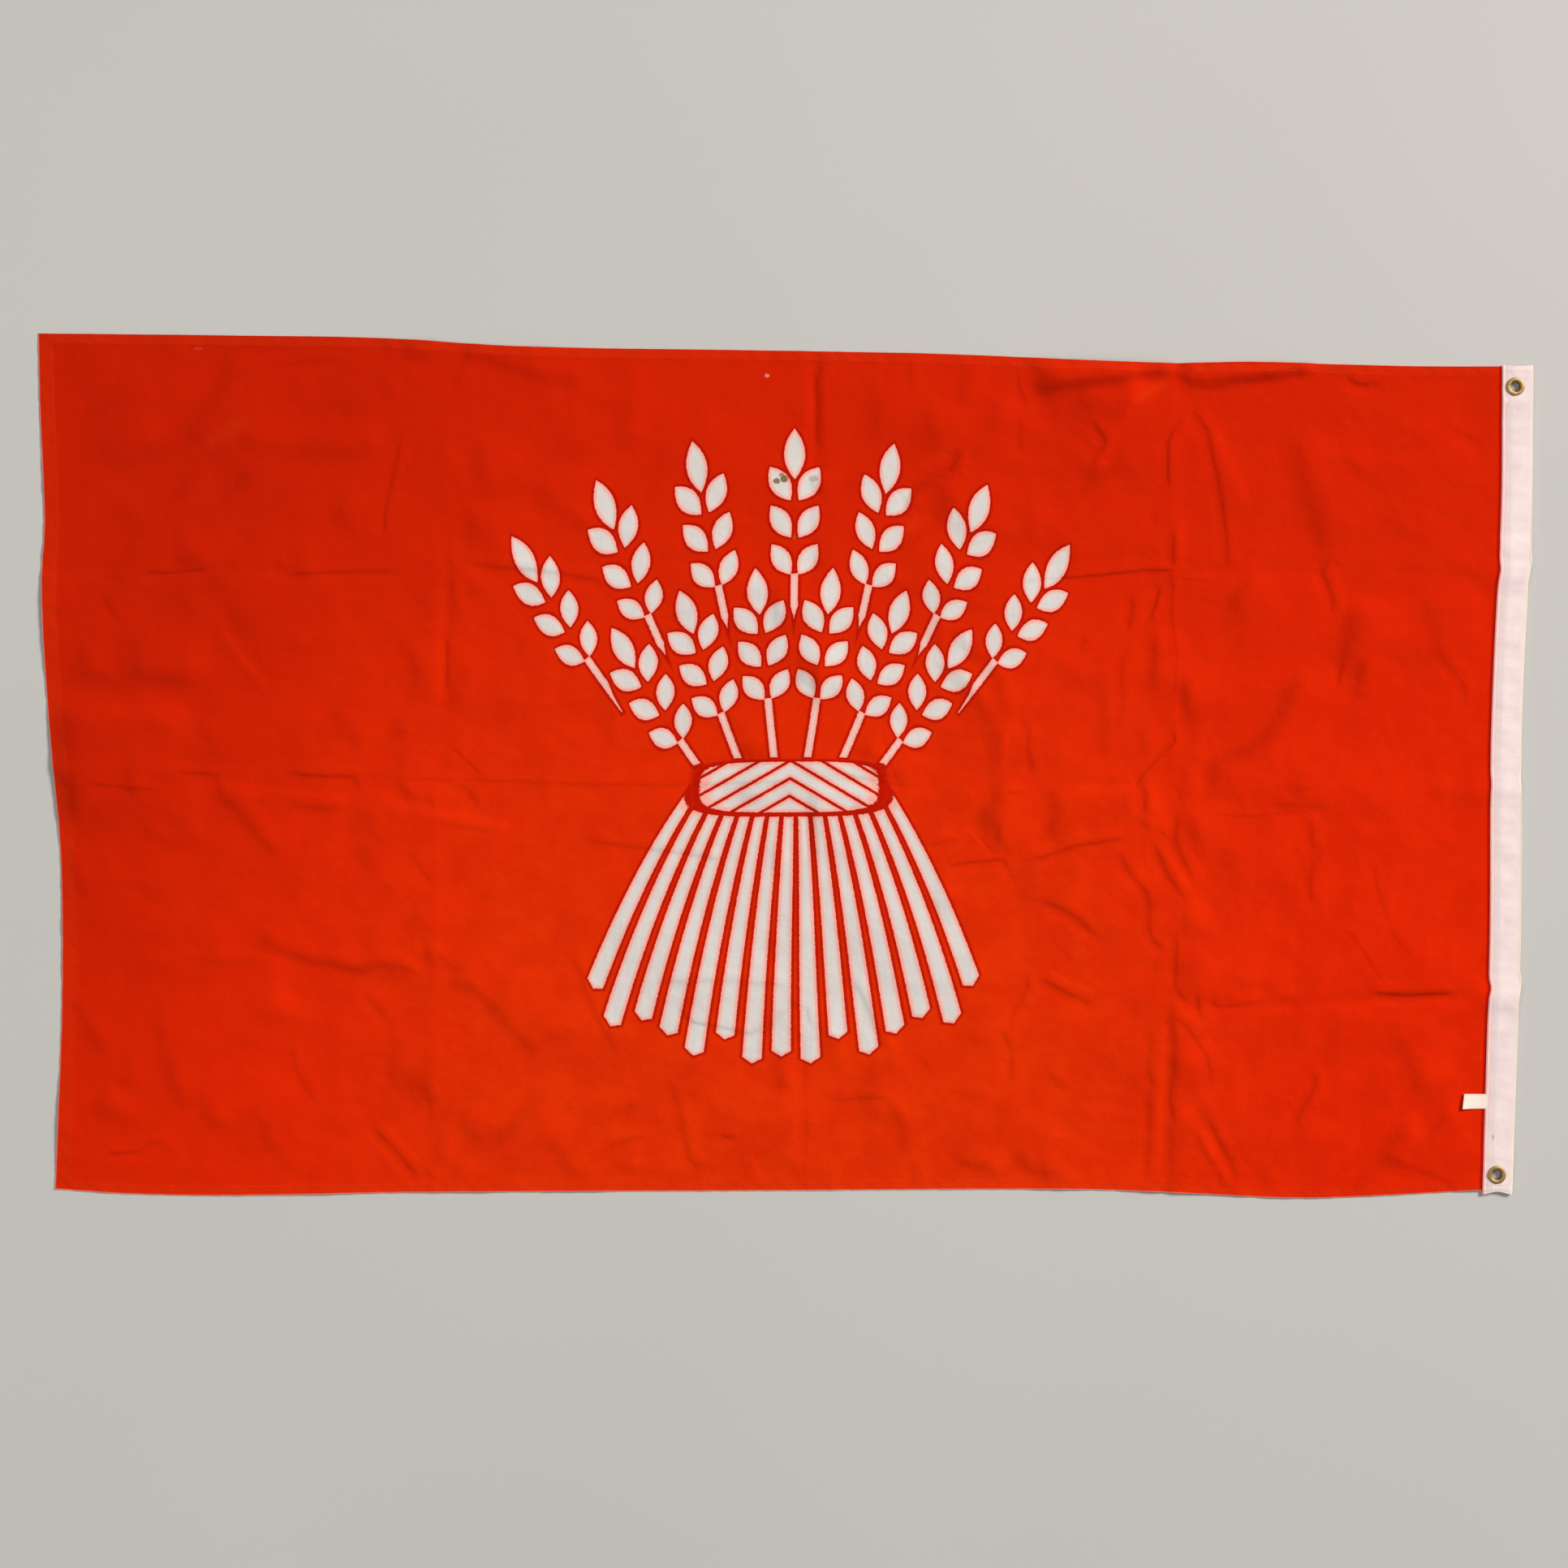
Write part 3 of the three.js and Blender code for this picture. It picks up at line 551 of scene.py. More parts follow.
    [2, 4, -405, -13, -350, -14, -315, -14],
    [2.2, 5, -318, -14, -250, -17, -195, -19, -100, -20, 2, -17],
    [4, 8, -402, -12, -393, -25, -382, -39],
    [3, 6, -370, -29, -361, -44],
    [3, 6, -347, -19, -330, -22, -317, -44],
    [-2.4, 9, -406, -43, -350, -50, -290, -60],
    [2.2, 6, -362, -57, -325, -65, -288, -70],
    [3, 5, -202, -78, -150, -85, -110, -90, -68, -97],
    [2.6, 5, -391, -87, -380, -100, -365, -123],
    [2.1, 12, -384, -122, -381, -150, -386, -172],
    [3.8, 8, -370, -183, -367, -208],
    [2.8, 7, -357, -197, -337, -213],
    [3.2, 8, -347, -225, -325, -230, -308, -241],
    [3.8, 12, -314, -238, -290, -262, -268, -288, -254, -301],
    [3, 7, -403, -204, -378, -216],
    [3, 6, -227, -193, -212, -212, -200, -250, -174, -297],
    [2.3, 7, -132, -223, -60, -222, 2, -228],
    [2.3, 12, -21, -173, -15, -185, -10, -202],
    [1.6, 20, -392, -310, -380, -330, -376, -350],
    [2.1, 6, -373, -328, -366, -350, -365, -374],
    [2.1, 8, -252, -286, -235, -275, -213, -275],
    [2.9, 14, -344, -356, -318, -385, -308, -390],
    [2.9, 14, -308, -390, -280, -372, -248, -343],
    [3, 10, -257, -379, -232, -400, -222, -427],
    [2.3, 8, -207, -361, -190, -368, -148, -344],
    [2.8, 5, -200, -407, -178, -390, -150, -384, -140, -385],
    [2.1, 12, -168, -418, -147, -418],
    [3, 7, -119, -328, -108, -360, -102, -390, -97, -410],
    [3.5, 7, -99, -408, -88, -416],
    [3.3, 5, -72, -381, -60, -384, -48, -384],
    [1.9, 12, -122, -304, -100, -312, -83, -323],
    [4, 7, -426, -374, -405, -395, -378, -427],
    [3, 5, -378, -411, -361, -430],
    [2.3, 12, -362, -405, -348, -408],
    [-2, 6, -35, -398, -27, -427],
    [2.4, 6, -720, 362, -695, 375, -666, 384],
    [1.9, 20, -702, 304, -670, 318, -632, 333],
    [2.3, 12, -568, 432, -580, 395, -600, 365, -621, 336],
    [-2, 12, -548, 363, -570, 350, -607, 323],
    [2, 7, -527, 411, -505, 417, -458, 421],
    [2.1, 8, -422, 402, -402, 377],
    [2, 12, -562, 331, -500, 325, -418, 322],
    [-1.8, 12, -560, 352, -500, 345, -410, 345],
    [3, 4.5, -397, 340, -406, 300, -414, 260, -415, 238],
    [2.4, 12, -607, 302, -632, 281],
    [2.4, 10, -543, 306, -560, 298, -570, 285, -592, 267],
    [2, 10, -454, 287, -460, 265, -470, 253],
    [1.8, 10, -693, 267, -678, 253],
    [2, 8, -742, 277, -728, 258],
    [3.6, 5, -667, 200, -640, 200, -598, 203],
    [3.2, 9, -628, 212, -608, 214, -596, 205],
    [2.2, 8, -594, 200, -584, 178],
    [3, 6, -527, 211, -517, 204],
    [3.2, 5, -516, 197, -480, 200, -403, 202],
    [2.6, 8, -505, 196, -482, 196],
    [2, 4, -702, 196, -664, 199],
    [2.8, 6, -758, 166, -749, 156],
    [2.3, 6, -706, 177, -689, 148],
    [2.5, 8, -601, 157, -587, 128],
    [3, 12, -579, 164, -560, 145, -548, 122],
    [2, 8, -550, 120, -534, 93],
    [-3, 7, -582, 142, -560, 112, -533, 80],
    [-1.6, 8, -617, 121, -578, 99],
    [3.3, 14, -738, 102, -715, 92, -688, 86],
    [3.1, 18, -690, 90, -650, 92, -598, 86],
    [-3.6, 20, -756, 57, -690, 56, -618, 58],
    [2.5, 12, -601, 42, -593, 25, -590, -2],
    [2.3, 8, -638, 37, -627, 27],
    [2.3, 16, -622, 12, -600, 5],
    [2, 10, -482, 137, -474, 122],
    [2.2, 9, -452, 142, -445, 122],
    [1.9, 10, -510, 142, -510, 113],
    [2.4, 12, -477, 57, -450, 35, -434, 8],
    [1.8, 12, -512, 32, -497, 24],
    [4, 16, -747, -8, -738, -28, -736, -58],
    [2.9, 12, -738, -86, -735, -110, -732, -133],
    [3, 4.5, -717, -18, -680, -23, -648, -25],
    [2.5, 8, -678, -27, -662, -27],
    [3, 5, -627, -7, -586, -8],
    [3, 5, -588, -8, -583, -32],
    [4, 9, -584, -30, -570, -42, -550, -65, -524, -97],
    [3.4, 5, -512, -8, -465, -11, -444, -11],
    [2.8, 6, -445, -8, -440, -32],
    [-3, 10, -592, -20, -530, -25, -453, -35],
    [2.3, 6, -512, -42, -455, -45],
    [2.5, 10, -441, -43, -425, -70, -419, -87],
    [2.5, 8, -441, -78, -431, -112],
    [-2.2, 10, -426, -13, -415, -30, -393, -46],
    [2.3, 8, -667, -63, -640, -82, -598, -77],
    [2.3, 12, -637, -58, -603, -73],
    [2, 9, -671, -113, -662, -130, -636, -142],
    [2.4, 8, -457, -131, -435, -152],
    [2, 8, -417, -131, -403, -124],
    [2.5, 8, -561, -156, -554, -170],
    [4, 11, -546, -180, -515, -193, -480, -203, -440, -211, -418, -206, -400, -210, -388, -218],
    [1.7, 8, -602, -205, -540, -205],
    [3.5, 9, -742, -238, -722, -270, -705, -299],
    [3, 13, -656, -253, -647, -275, -644, -296],
    [3.4, 9, -643, -298, -635, -320, -622, -352],
    [2.1, 10, -625, -362, -614, -402],
    [-1.8, 12, -678, -308, -648, -336],
    [2.3, 8, -702, -319, -668, -331],
    [2.3, 14, -699, -333, -712, -357],
    [2, 8, -667, -349, -638, -366],
    [3.2, 4.5, -702, -402, -670, -399, -646, -387],
    [2, 6, -647, -388, -631, -401],
    [2.8, 10, -602, -371, -573, -367],
    [2.3, 8, -618, -427, -605, -403],
    [2.2, 8, -577, -419, -560, -432],
    [1.8, 18, -552, -260, -520, -265, -500, -258],
    [2.3, 10, -572, -279, -554, -297],
    [2.4, 7, -512, -283, -505, -315, -484, -352],
    [2.6, 14, -485, -352, -470, -370, -448, -387],
    [2.6, 10, -549, -348, -532, -392, -508, -424],
    [3, 7, -437, -233, -412, -264],
    [2.6, 12, -408, -266, -402, -290, -410, -330],
    [3, 14, 28, -24, 31, -60, 27, -98],
    [-3, 6, 20, -48, 22, -102],
    [3, 9, -12, -73, -12, -112],
    [3, 12, -9, 188, -8, 160, -4, 138],
    [4, 9, 14, 118, 18, 100, 13, 88],
    [4, 8, 31, 118, 32, 90, 33, 58],
    [3, 14, -42, 24, -34, 2],
    [3, 14, -50, -28, -14, -42],
]
print("small creases:", len(CREASES))

# %% [markdown]
# Each row becomes a line with a height. Its width is that of the stretch where the slope is at
# least half as steep as in its middle: for tanh(t) that is 1.76 half widths. A strong crease
# counts a little more than in proportion, and a narrow one less, because it is drawn sharper.

# %% From rows to folds
WIDE = 7.5
NARROW_SHARE = 0.8
STRENGTH = 0.74
STRENGTH_RISE = 0.08
STEEPNESS = np.radians(3.9)
MOST_ASLANT = 0.5
TOWARDS = 0.35
WIDTH_TO_HALF = 1 / 1.76
LEAD = 1.2
END_FADE = 4.0


def placed_crease(numbers):
    """A crease as its height, half width, line and shade, its steep side turned from the light.

    The line is led on a little at both ends, where the crease fades out. A slope that the light
    meets aslant shades less, so it is made steeper: the angle is divided by the cosine between
    the light and the way down. Only a crease that runs nearly towards the light is left flatter.
    The height is 2 * half width * tan(angle).
    """
    steps, width, *places = numbers
    line = np.reshape(places, (-1, 2)).astype(float)
    run = line[-1] - line[0]
    facing = (run[0] * LIGHT_RUN[1] - run[1] * LIGHT_RUN[0]) / np.hypot(*run)
    half = width * WIDTH_TO_HALF
    ends = line[[0, -1]] - line[[1, -2]]
    line[[0, -1]] += LEAD * half * ends / np.hypot(*ends.T)[:, None]
    share = 1 if width >= WIDE else NARROW_SHARE
    shade = steps * share * (STRENGTH + STRENGTH_RISE * abs(steps))
    angle = STEEPNESS * shade / max(abs(facing), MOST_ASLANT) * min(1, abs(facing) / TOWARDS)
    return 2 * half * np.tan(angle), half, line if facing > 0 else line[::-1], shade


SMALL_FOLDS = [placed_crease(numbers) for numbers in CREASES]
print("highest small crease, mm:", round(max(abs(fold[0]) for fold in SMALL_FOLDS), 2))

# %% [markdown]
# Everything that follows asks one question of a line: how far is a point from it, and on which
# side. It could be asked of a search tree, but a few stretches for a whole net of points at once
# are quick enough.

# %% Distance to a line
def beside_line(x, y, line):
    """Distance to a line of points, negative on its left, the share of its length passed, and
    how squarely the light meets that stretch of it.
    """
    nearest = np.full(x.shape, np.inf)
    along = np.zeros(x.shape)
    left = np.zeros(x.shape, bool)
    facing = np.zeros(x.shape)
    runs = np.diff(line, axis=0)
    lengths = np.hypot(*runs.T)
    passed = 0.0
    for (ax, ay), (rx, ry), length in zip(line[:-1], runs, lengths):
        f = np.clip(((x - ax) * rx + (y - ay) * ry) / length**2, 0, 1)
        distance = np.hypot(x - ax - f * rx, y - ay - f * ry)
        nearer = distance < nearest
        nearest = np.where(nearer, distance, nearest)
        along = np.where(nearer, (passed + f * length) / lengths.sum(), along)
        left = np.where(nearer, (y - ay) * rx > (x - ax) * ry, left)
        facing = np.where(nearer, (rx * LIGHT_RUN[1] - ry * LIGHT_RUN[0]) / length, facing)
        passed += length
    return np.where(left, -nearest, nearest), along, facing


fly_gap, _, _ = beside_line(np.zeros(1), np.zeros(1), np.array(FLY_EDGE)[:, ::-1])
print("from the middle to the fly edge, mm:", round(abs(float(fly_gap[0])), 1))

# %% [markdown]
# A distance becomes the height of a ridge, a trough or a soft step. The two functions yield the
# heights of one crease at a time, so that their sum never holds hundreds of large arrays.

# %% Heights of folds and steps
STEP_FADING = 5.5


def fold_heights(x, y, folds, rounding):
    """The height of each folding line at each point, one at a time.

    Its reach is the distance to the line, rounded at the crest: hypot(d, rounding) - rounding.
    A ridge is h * exp(-reach / w). A trough is h * f * exp(1 - f) with f = reach / w.
    """
    for height, width, line in folds:
        distance, _, _ = beside_line(x, y, line)
        f = (np.hypot(distance, rounding) - rounding) / width
        yield height * np.exp(-f) if height > 0 else -height * f * np.exp(1 - f)


def end_fade(along, line, half):
    """0 at the ends of a line and 1 from four half widths in, or from its middle."""
    length = np.hypot(*np.diff(line, axis=0).T).sum()
    return smooth_step(np.minimum(along, 1 - along), 0, min(END_FADE * half / length, 0.5))


def step_heights(x, y, folds):
    """Soft steps of the cloth, one at a time: it falls by h across the line within its width.

    With t = distance / half width: h * (1 - tanh(t)) / 2 * exp(-t behind the line / fading),
    and for a step that faces the light the two sides change places.
    """
    for height, half, line, _ in folds:
        distance, along, _ = beside_line(x, y, line)
        t = distance / half * np.sign(height)
        shape = abs(height) * (1 - np.tanh(t)) / 2 * np.exp(-np.maximum(0, -t) / STEP_FADING)
        yield shape * end_fade(along, line, half)


# %% [markdown]
# The net of points holds the wide creases, but not a crease of a few millimetres. The distance to
# a line changes evenly across it, though, and so stays exact between the points of a net, if it
# has a sign. Each point therefore keeps its distance from the nearest narrow crease and that
# crease's height, and the finish draws the crease from these two numbers. Two creases that run
# close together would disturb each other, so they are shared out among five sets.

# %% Narrow creases
MARK_REACH = (8, 15)
MARK_SETS = 5
OUT_OF_REACH = 99.0
EMPTY_SET_ROOM = 999

wide_folds = [fold for fold in SMALL_FOLDS if fold[1] >= WIDE * WIDTH_TO_HALF]
narrow_folds = [fold for fold in SMALL_FOLDS if fold[1] < WIDE * WIDTH_TO_HALF]


def room_beside(fold, group):
    """Distance from a crease's points to the nearest crease of a set, large for an empty set."""
    x, y = fold[2].T
    gaps = [np.abs(beside_line(x, y, other[2])[0]).min() for other in group]
    return min(gaps, default=EMPTY_SET_ROOM)


def share_out(folds):
    """Sets of creases, each crease in the set whose nearest other crease is furthest away."""
    sets = [[] for _ in range(MARK_SETS)]
    for fold in sorted(folds, key=lambda fold: -abs(fold[0] / fold[1])):
        rooms = [room_beside(fold, group) for group in sets]
        sets[int(np.argmax(rooms))].append(fold)
    return sets


def crease_marks(x, y, folds):
    """For the nearest crease of a set: distance / half width, and its faded height."""
    nearest = np.full(x.shape, OUT_OF_REACH)
    steps = np.full(x.shape, OUT_OF_REACH)
    height = np.zeros(x.shape)
    for rise, half, line, _ in folds:
        distance, along, _ = beside_line(x, y, line)
        gap = np.abs(distance)
        nearer = gap < nearest
        faded = rise * end_fade(along, line, half) * (1 - smooth_step(gap, *MARK_REACH))
        nearest = np.where(nearer, gap, nearest)
        steps = np.where(nearer, distance / half, steps)
        height = np.where(nearer, faded, height)
    return steps, height


mark_sets = share_out(narrow_folds)
print("wide creases:", len(wide_folds), "narrow ones:", [len(group) for group in mark_sets])

# %% [markdown]
# Shade is painted into the dye along dark creases, and highlight along bright ones. One lamp
# can't show a crease that runs towards it as an open sky does, so the painted shade and
# highlight carry what the lamp leaves out.

# %% Painted shade along the creases
LEAST_PAINTED_HALF = 5.0
SHADE = 0.045
MOST_SHADE = 0.15
# Gains of the painted shade on dark creases and of the painted highlight on bright ones.
SHADE_GAIN = 1.3
HIGHLIGHT_GAIN = 0.8


def crease_shading_paint(x, y, folds):
    """Share of shade painted along dark creases, and of highlight painted along bright ones.

    It is most on creases that run towards the light, which has little to show of them. Each
    crease paints in a bell across its line: exp(-t * t). A crease finer than the net gets
    a wider and fainter bell, so that none is lost between the points.
    """
    painted_shading = np.zeros(x.shape)
    for rise, half, line, shade in folds:
        distance, along, facing = beside_line(x, y, line)
        shown = facing * np.arctan(rise / 2 / half) / STEEPNESS
        missing = shade * (SHADE_GAIN if shade > 0 else HIGHLIGHT_GAIN) - shown
        painted_half = max(half, LEAST_PAINTED_HALF)
        bell = np.exp(-((distance / painted_half) ** 2)) * end_fade(along, line, half)
        bell *= half / painted_half
        # Painted shade where a crease should look dark, painted highlight where it should look
        # bright.
        painted_shading += SHADE * np.where(missing * shade > 0, missing, 0) * bell
    return np.clip(painted_shading, -MOST_SHADE, MOST_SHADE)


# %% [markdown]
# Cloth is never quite flat between its creases: it lies in slow swells, and it keeps faint dents
# everywhere. Swells are a few long waves. Dents are smooth noise, worked out from random numbers
# on a coarse net with a fixed seed, so that each run gives the same cloth.

# %% Swells and dents
SWELLS = [
    [0.8, 230, 24, 0.4],
    [0.7, 170, 103, 1.9],
    [0.5, 118, 62, 0.7],
    [0.45, 96, 141, 2.6],
]
DENTS = [[95, 0.9, 11], [42, 0.8, 12], [21, 0.44, 13]]
WANDER = [[60, 1.0, 21, 22], [19, 0.6, 23, 24]]
FIELD_REACH = 900


def smooth_noise(x, y, size, seed):
    """Noise from -1 to 1 with bumps of one size: random numbers on a net, eased between them."""
    cells = int(2 * FIELD_REACH / size) + 2
    net = np.random.default_rng(seed).uniform(-1, 1, (cells, cells))
    u = np.clip((x + FIELD_REACH) / size, 0, cells - 1.001)
    v = np.clip((y + FIELD_REACH) / size, 0, cells - 1.001)
    i = u.astype(int)
    j = v.astype(int)
    f = (u - i) ** 2 * (3 - 2 * (u - i))
    g = (v - j) ** 2 * (3 - 2 * (v - j))
    low = net[j, i] * (1 - f) + net[j, i + 1] * f
    high = net[j + 1, i] * (1 - f) + net[j + 1, i + 1] * f
    return low * (1 - g) + high * g


def swell_height(x, y):
    """Long waves a * sin(2 pi * distance along the direction / length), plus noise dents."""
    height = np.zeros_like(x)
    for amplitude, length, degrees, phase in SWELLS:
        angle = np.radians(degrees)
        run = x * np.cos(angle) + y * np.sin(angle)
        height += amplitude * np.sin(2 * np.pi * run / length + phase)
    for size, amplitude, seed in DENTS:
        height += amplitude * (0.5 - np.abs(smooth_noise(x, y, size, seed)))
    return height


middle_swell = swell_height(np.zeros(1), np.zeros(1))[0]
print("swells and dents in the middle, mm:", round(float(middle_swell), 2))

# %% [markdown]
# ## Height of the cloth
#
# The cloth lies on the ground, is thrown up by its folds, and climbs the last few centimetres
# into the heading. The heading itself is kinked where the level creases cross it and lies flat
# round each eyelet, whose flange holds it off the ground.

# %% Heights
HEADING_KINKS = [[201, 2.4, 16], [226, 1.4, 10], [-26, 1.6, 14], [-239, 2.6, 16]]
HEADING_SETTLE = 0.02
EYELET_PLACES = {"eyelet_upper": (754.7, 391.9), "eyelet_lower": (735.4, -422.9)}
EYELET_PRESS = (13, 38)
EYELET_LIFT = 1.2
TUCKED_LIFT = 1.0
CLIMB = (5, 42)
SWELL_ROOM = 0.55


def heading_lift(y):
    """Height of the heading's underside: a bell at each kink, level over each eyelet."""
    lift = sum(h * np.exp(-(((y - at) / w) ** 2)) for at, h, w in HEADING_KINKS)
    for _, eyelet_y in EYELET_PLACES.values():
        press = 1 - smooth_step(np.abs(y - eyelet_y), *EYELET_PRESS)
        lift = lift + (EYELET_LIFT - lift) * press
    return np.maximum(0, lift - HEADING_SETTLE)


def wandered(x, y):
    """The places moved a little by noise, so that no crease runs like a ruled line."""
    moves = [
        (amount * smooth_noise(x, y, size, seed_x), amount * smooth_noise(x, y, size, seed_y))
        for size, amount, seed_x, seed_y in WANDER
    ]
    return x + sum(move[0] for move in moves), y + sum(move[1] for move in moves)


def cloth_lift(x, y):
    """Height of the cloth's underside.

    Folding lines add up as (h1^3 + h2^3 + ...)^(1/3), less a small settling. Wide creases, swells
    and dents go on top, eased so that nothing dips under the ground. Near the seam all this
    gives way to the height inside the heading.
    """
    wx, wy = wandered(x, y)
    main = sum(h**BLEND_POWER for h in fold_heights(wx, wy, FOLDS, CREST_ROUNDING))
    main = np.maximum(0, main ** (1 / BLEND_POWER) - SETTLE)
    small = sum(step_heights(wx, wy, wide_folds))
    loose = main + small + swell_height(x, y)
    lift = 0.5 * (loose + np.hypot(loose, SWELL_ROOM))
    climb = 1 - smooth_step(seam_at(y) - x, *CLIMB)
    return lift + (heading_lift(y) + TUCKED_LIFT - lift) * climb


print("highest kink of the heading, mm:", round(float(heading_lift(seam_places).max()), 2))

# %% [markdown]
# ## Hems
#
# The three free edges are turned under and sewn. A hem is a second layer, pressed thin, so the
# cloth steps up a little over 14 mm at the fly and 9 mm along the top and bottom, and the
# stitching draws a fine groove just inside the step.

# %% Thickness
CLOTH = 0.5
HEM_EXTRA = 0.3
FLY_HEM = 14
EDGE_HEM = 9
HEM_STEP = 1.6
STITCH_INSET = 2.0
GROOVE = 0.1
GROOVE_HALF = 0.9
PUCKER = [[0.16, 23, 0.3], [0.1, 11.5, 1.1]]


def hem_distances(x, y):
    """Distance of each point from the fly, top and bottom edges, with that hem's width."""
    return [
        (x - upright_lines[0](y), FLY_HEM),
        (level_lines[0](x) - y, EDGE_HEM),
        (y - level_lines[-1](x), EDGE_HEM),
    ]


def cloth_thickness(x, y):
    """One layer, and a second in the hems, less a narrow groove under each row of stitches."""
    second = np.zeros_like(x)
    groove = np.zeros_like(x)
    for inside, width in hem_distances(x, y):
        second = np.maximum(second, 1 - smooth_step(inside, width, width + HEM_STEP))
        offset = (inside - (width - STITCH_INSET)) / GROOVE_HALF
        groove = np.maximum(groove, np.exp(-(offset**2)))
    loose = smooth_step(seam_at(y) - x, *CLIMB)
    ripple = sum(a * np.sin(2 * np.pi * (x + y) / length + p) for a, length, p in PUCKER)
    return CLOTH + loose * (second * (HEM_EXTRA + ripple) - GROOVE * groove)


print("cloth in its hems, mm thick:", CLOTH + HEM_EXTRA)

# %% [markdown]
# ## From points to a mesh
#
# A sheet has two faces and a rim. The helper takes the points of an upper and a lower face on one
# net of quads, finds the net's open edges and walls them up, so every sheet is a closed body.
# Solidify could give one thickness, but a hemmed cloth has several.

# %% Mesh helpers
def net_quads(rows, columns):
    """The quads of a net whose points run row by row, facing up where rows go down the page."""
    first = (np.arange(rows - 1)[:, None] * columns + np.arange(columns - 1)).ravel()
    return np.stack([first, first + columns, first + columns + 1, first + 1], axis=1)


def put_mesh(name, points, quads, flat=None, sharp=None):
    """A new object from points in millimetres and quads, shaded smooth but for sharp edges."""
    mesh = bpy.data.meshes.new(name)
    mesh.vertices.add(len(points))
    mesh.vertices.foreach_set("co", (points * MM).astype(np.float32).ravel())
    mesh.loops.add(quads.size)
    mesh.loops.foreach_set("vertex_index", quads.astype(np.int32).ravel())
    mesh.polygons.add(len(quads))
    mesh.polygons.foreach_set("loop_start", np.arange(0, quads.size, 4, dtype=np.int32))
    mesh.update(calc_edges=True)
    if flat is not None:
        layer = mesh.uv_layers.new(name="flat")
        layer.data.foreach_set("uv", (flat[quads.ravel()] * MM).astype(np.float32).ravel())
    if sharp is not None:
        ends = np.empty(2 * len(mesh.edges), np.int32)
        mesh.edges.foreach_get("vertices", ends)
        marks = np.isin(np.sort(ends.reshape(-1, 2), axis=1) @ [len(points), 1], sharp)
        mesh.attributes.new("sharp_edge", "BOOLEAN", "EDGE").data.foreach_set("value", marks)
    holder = bpy.data.objects.new(name, mesh)
    bpy.context.collection.objects.link(holder)
    return holder


def closed_sheet(name, upper, lower, quads, flat, marks=None):
    """A body from an upper and a lower face: open edges of the net get walls between them.

    Marks are named numbers that every point of the net keeps for the finish.
    """
    used, numbers = np.unique(quads, return_inverse=True)
    quads = numbers.reshape(-1, 4)
    upper, lower, flat = upper[used], lower[used], flat[used]
    count = len(upper)
    sides = np.stack([quads, np.roll(quads, -1, axis=1)], axis=2).reshape(-1, 2)
    keys = np.sort(sides, axis=1) @ [count, 1]
    _, first, times = np.unique(keys, return_index=True, return_counts=True)
    rim = sides[first[times == 1]]
    walls = np.stack([rim[:, 1], rim[:, 0], rim[:, 0] + count, rim[:, 1] + count], axis=1)
    faces = np.concatenate([quads, quads[:, ::-1] + count, walls])
    ends = np.sort(rim, axis=1)
    sharp = np.concatenate([ends, ends + count]) @ [2 * count, 1]
    points = np.concatenate([upper, lower])
    sheet = put_mesh(name, points, faces, np.concatenate([flat, flat]), sharp)
    for mark, values in (marks or {}).items():
        kept = np.tile(values.ravel()[used], 2).astype(np.float32)
        sheet.data.attributes.new(mark, "FLOAT", "POINT").data.foreach_set("value", kept)
    return sheet


def both_faces(points, thickness):
    """The faces of an even sheet: half its thickness along the normals, above and below."""
    normals = np.cross(np.gradient(points, axis=1), -np.gradient(points, axis=0))
    normals /= np.linalg.norm(normals, axis=2, keepdims=True)
    shift = normals * thickness / 2
    return (points + shift).reshape(-1, 3), (points - shift).reshape(-1, 3)


# %% [markdown]
# ## The red cloth
#
# The cloth's net has more lines near the creases and in the hems, where its shape turns quickly.
# Past the seam it runs on for a few millimetres between the leaves of the heading.

# %% Net lines of the cloth
CELLS_ACROSS = [66, 66, 70, 68]
CELLS_DOWN = [39, 40, 40, 39]
CROWDING = 0.3
TUCK = [1.5, 3.5, 6.5]


def hem_lines(width, panel):
    """Counts of panels at which the net has lines in a hem."""
    inset = width - STITCH_INSET
    places = [0, 0.8, width / 2, inset - 1.4, inset, inset + 1.2, width, width + HEM_STEP]
    return np.array(places) / panel


def panel_lines(cells, first_hem, last_hem):
    """Counts of panels of all lines, closer at the creases: f - c * sin(2 pi f) / (2 pi)."""
    lines = [first_hem]
    for panel, count in enumerate(cells):
        start = panel + (first_hem[-1] if panel == 0 else 0)
        end = panel + 1 - (last_hem[-1] if panel == len(cells) - 1 else 0)
        f = np.linspace(0, 1, count + 1)[1:]
        eased = f - CROWDING * np.sin(2 * np.pi * f) / (2 * np.pi)
        lines.append(start + (end - start) * eased)
    lines.append(len(cells) - last_hem[-2::-1])
    return np.concatenate(lines)


across_lines = panel_lines(CELLS_ACROSS, hem_lines(FLY_HEM, fly_panel), np.zeros(1))
down_lines = panel_lines(
    CELLS_DOWN, hem_lines(EDGE_HEM, edge_panel), hem_lines(EDGE_HEM, edge_panel)
)
print("net of the cloth:", len(across_lines) + len(TUCK), "by", len(down_lines))

# %% [markdown]
# Each point also keeps its place on the flat cloth, for the print, and its marks of the narrow
# creases, for the finish.

# %% The cloth as a closed sheet
FLAT_PANEL = (373.2, 217.6)


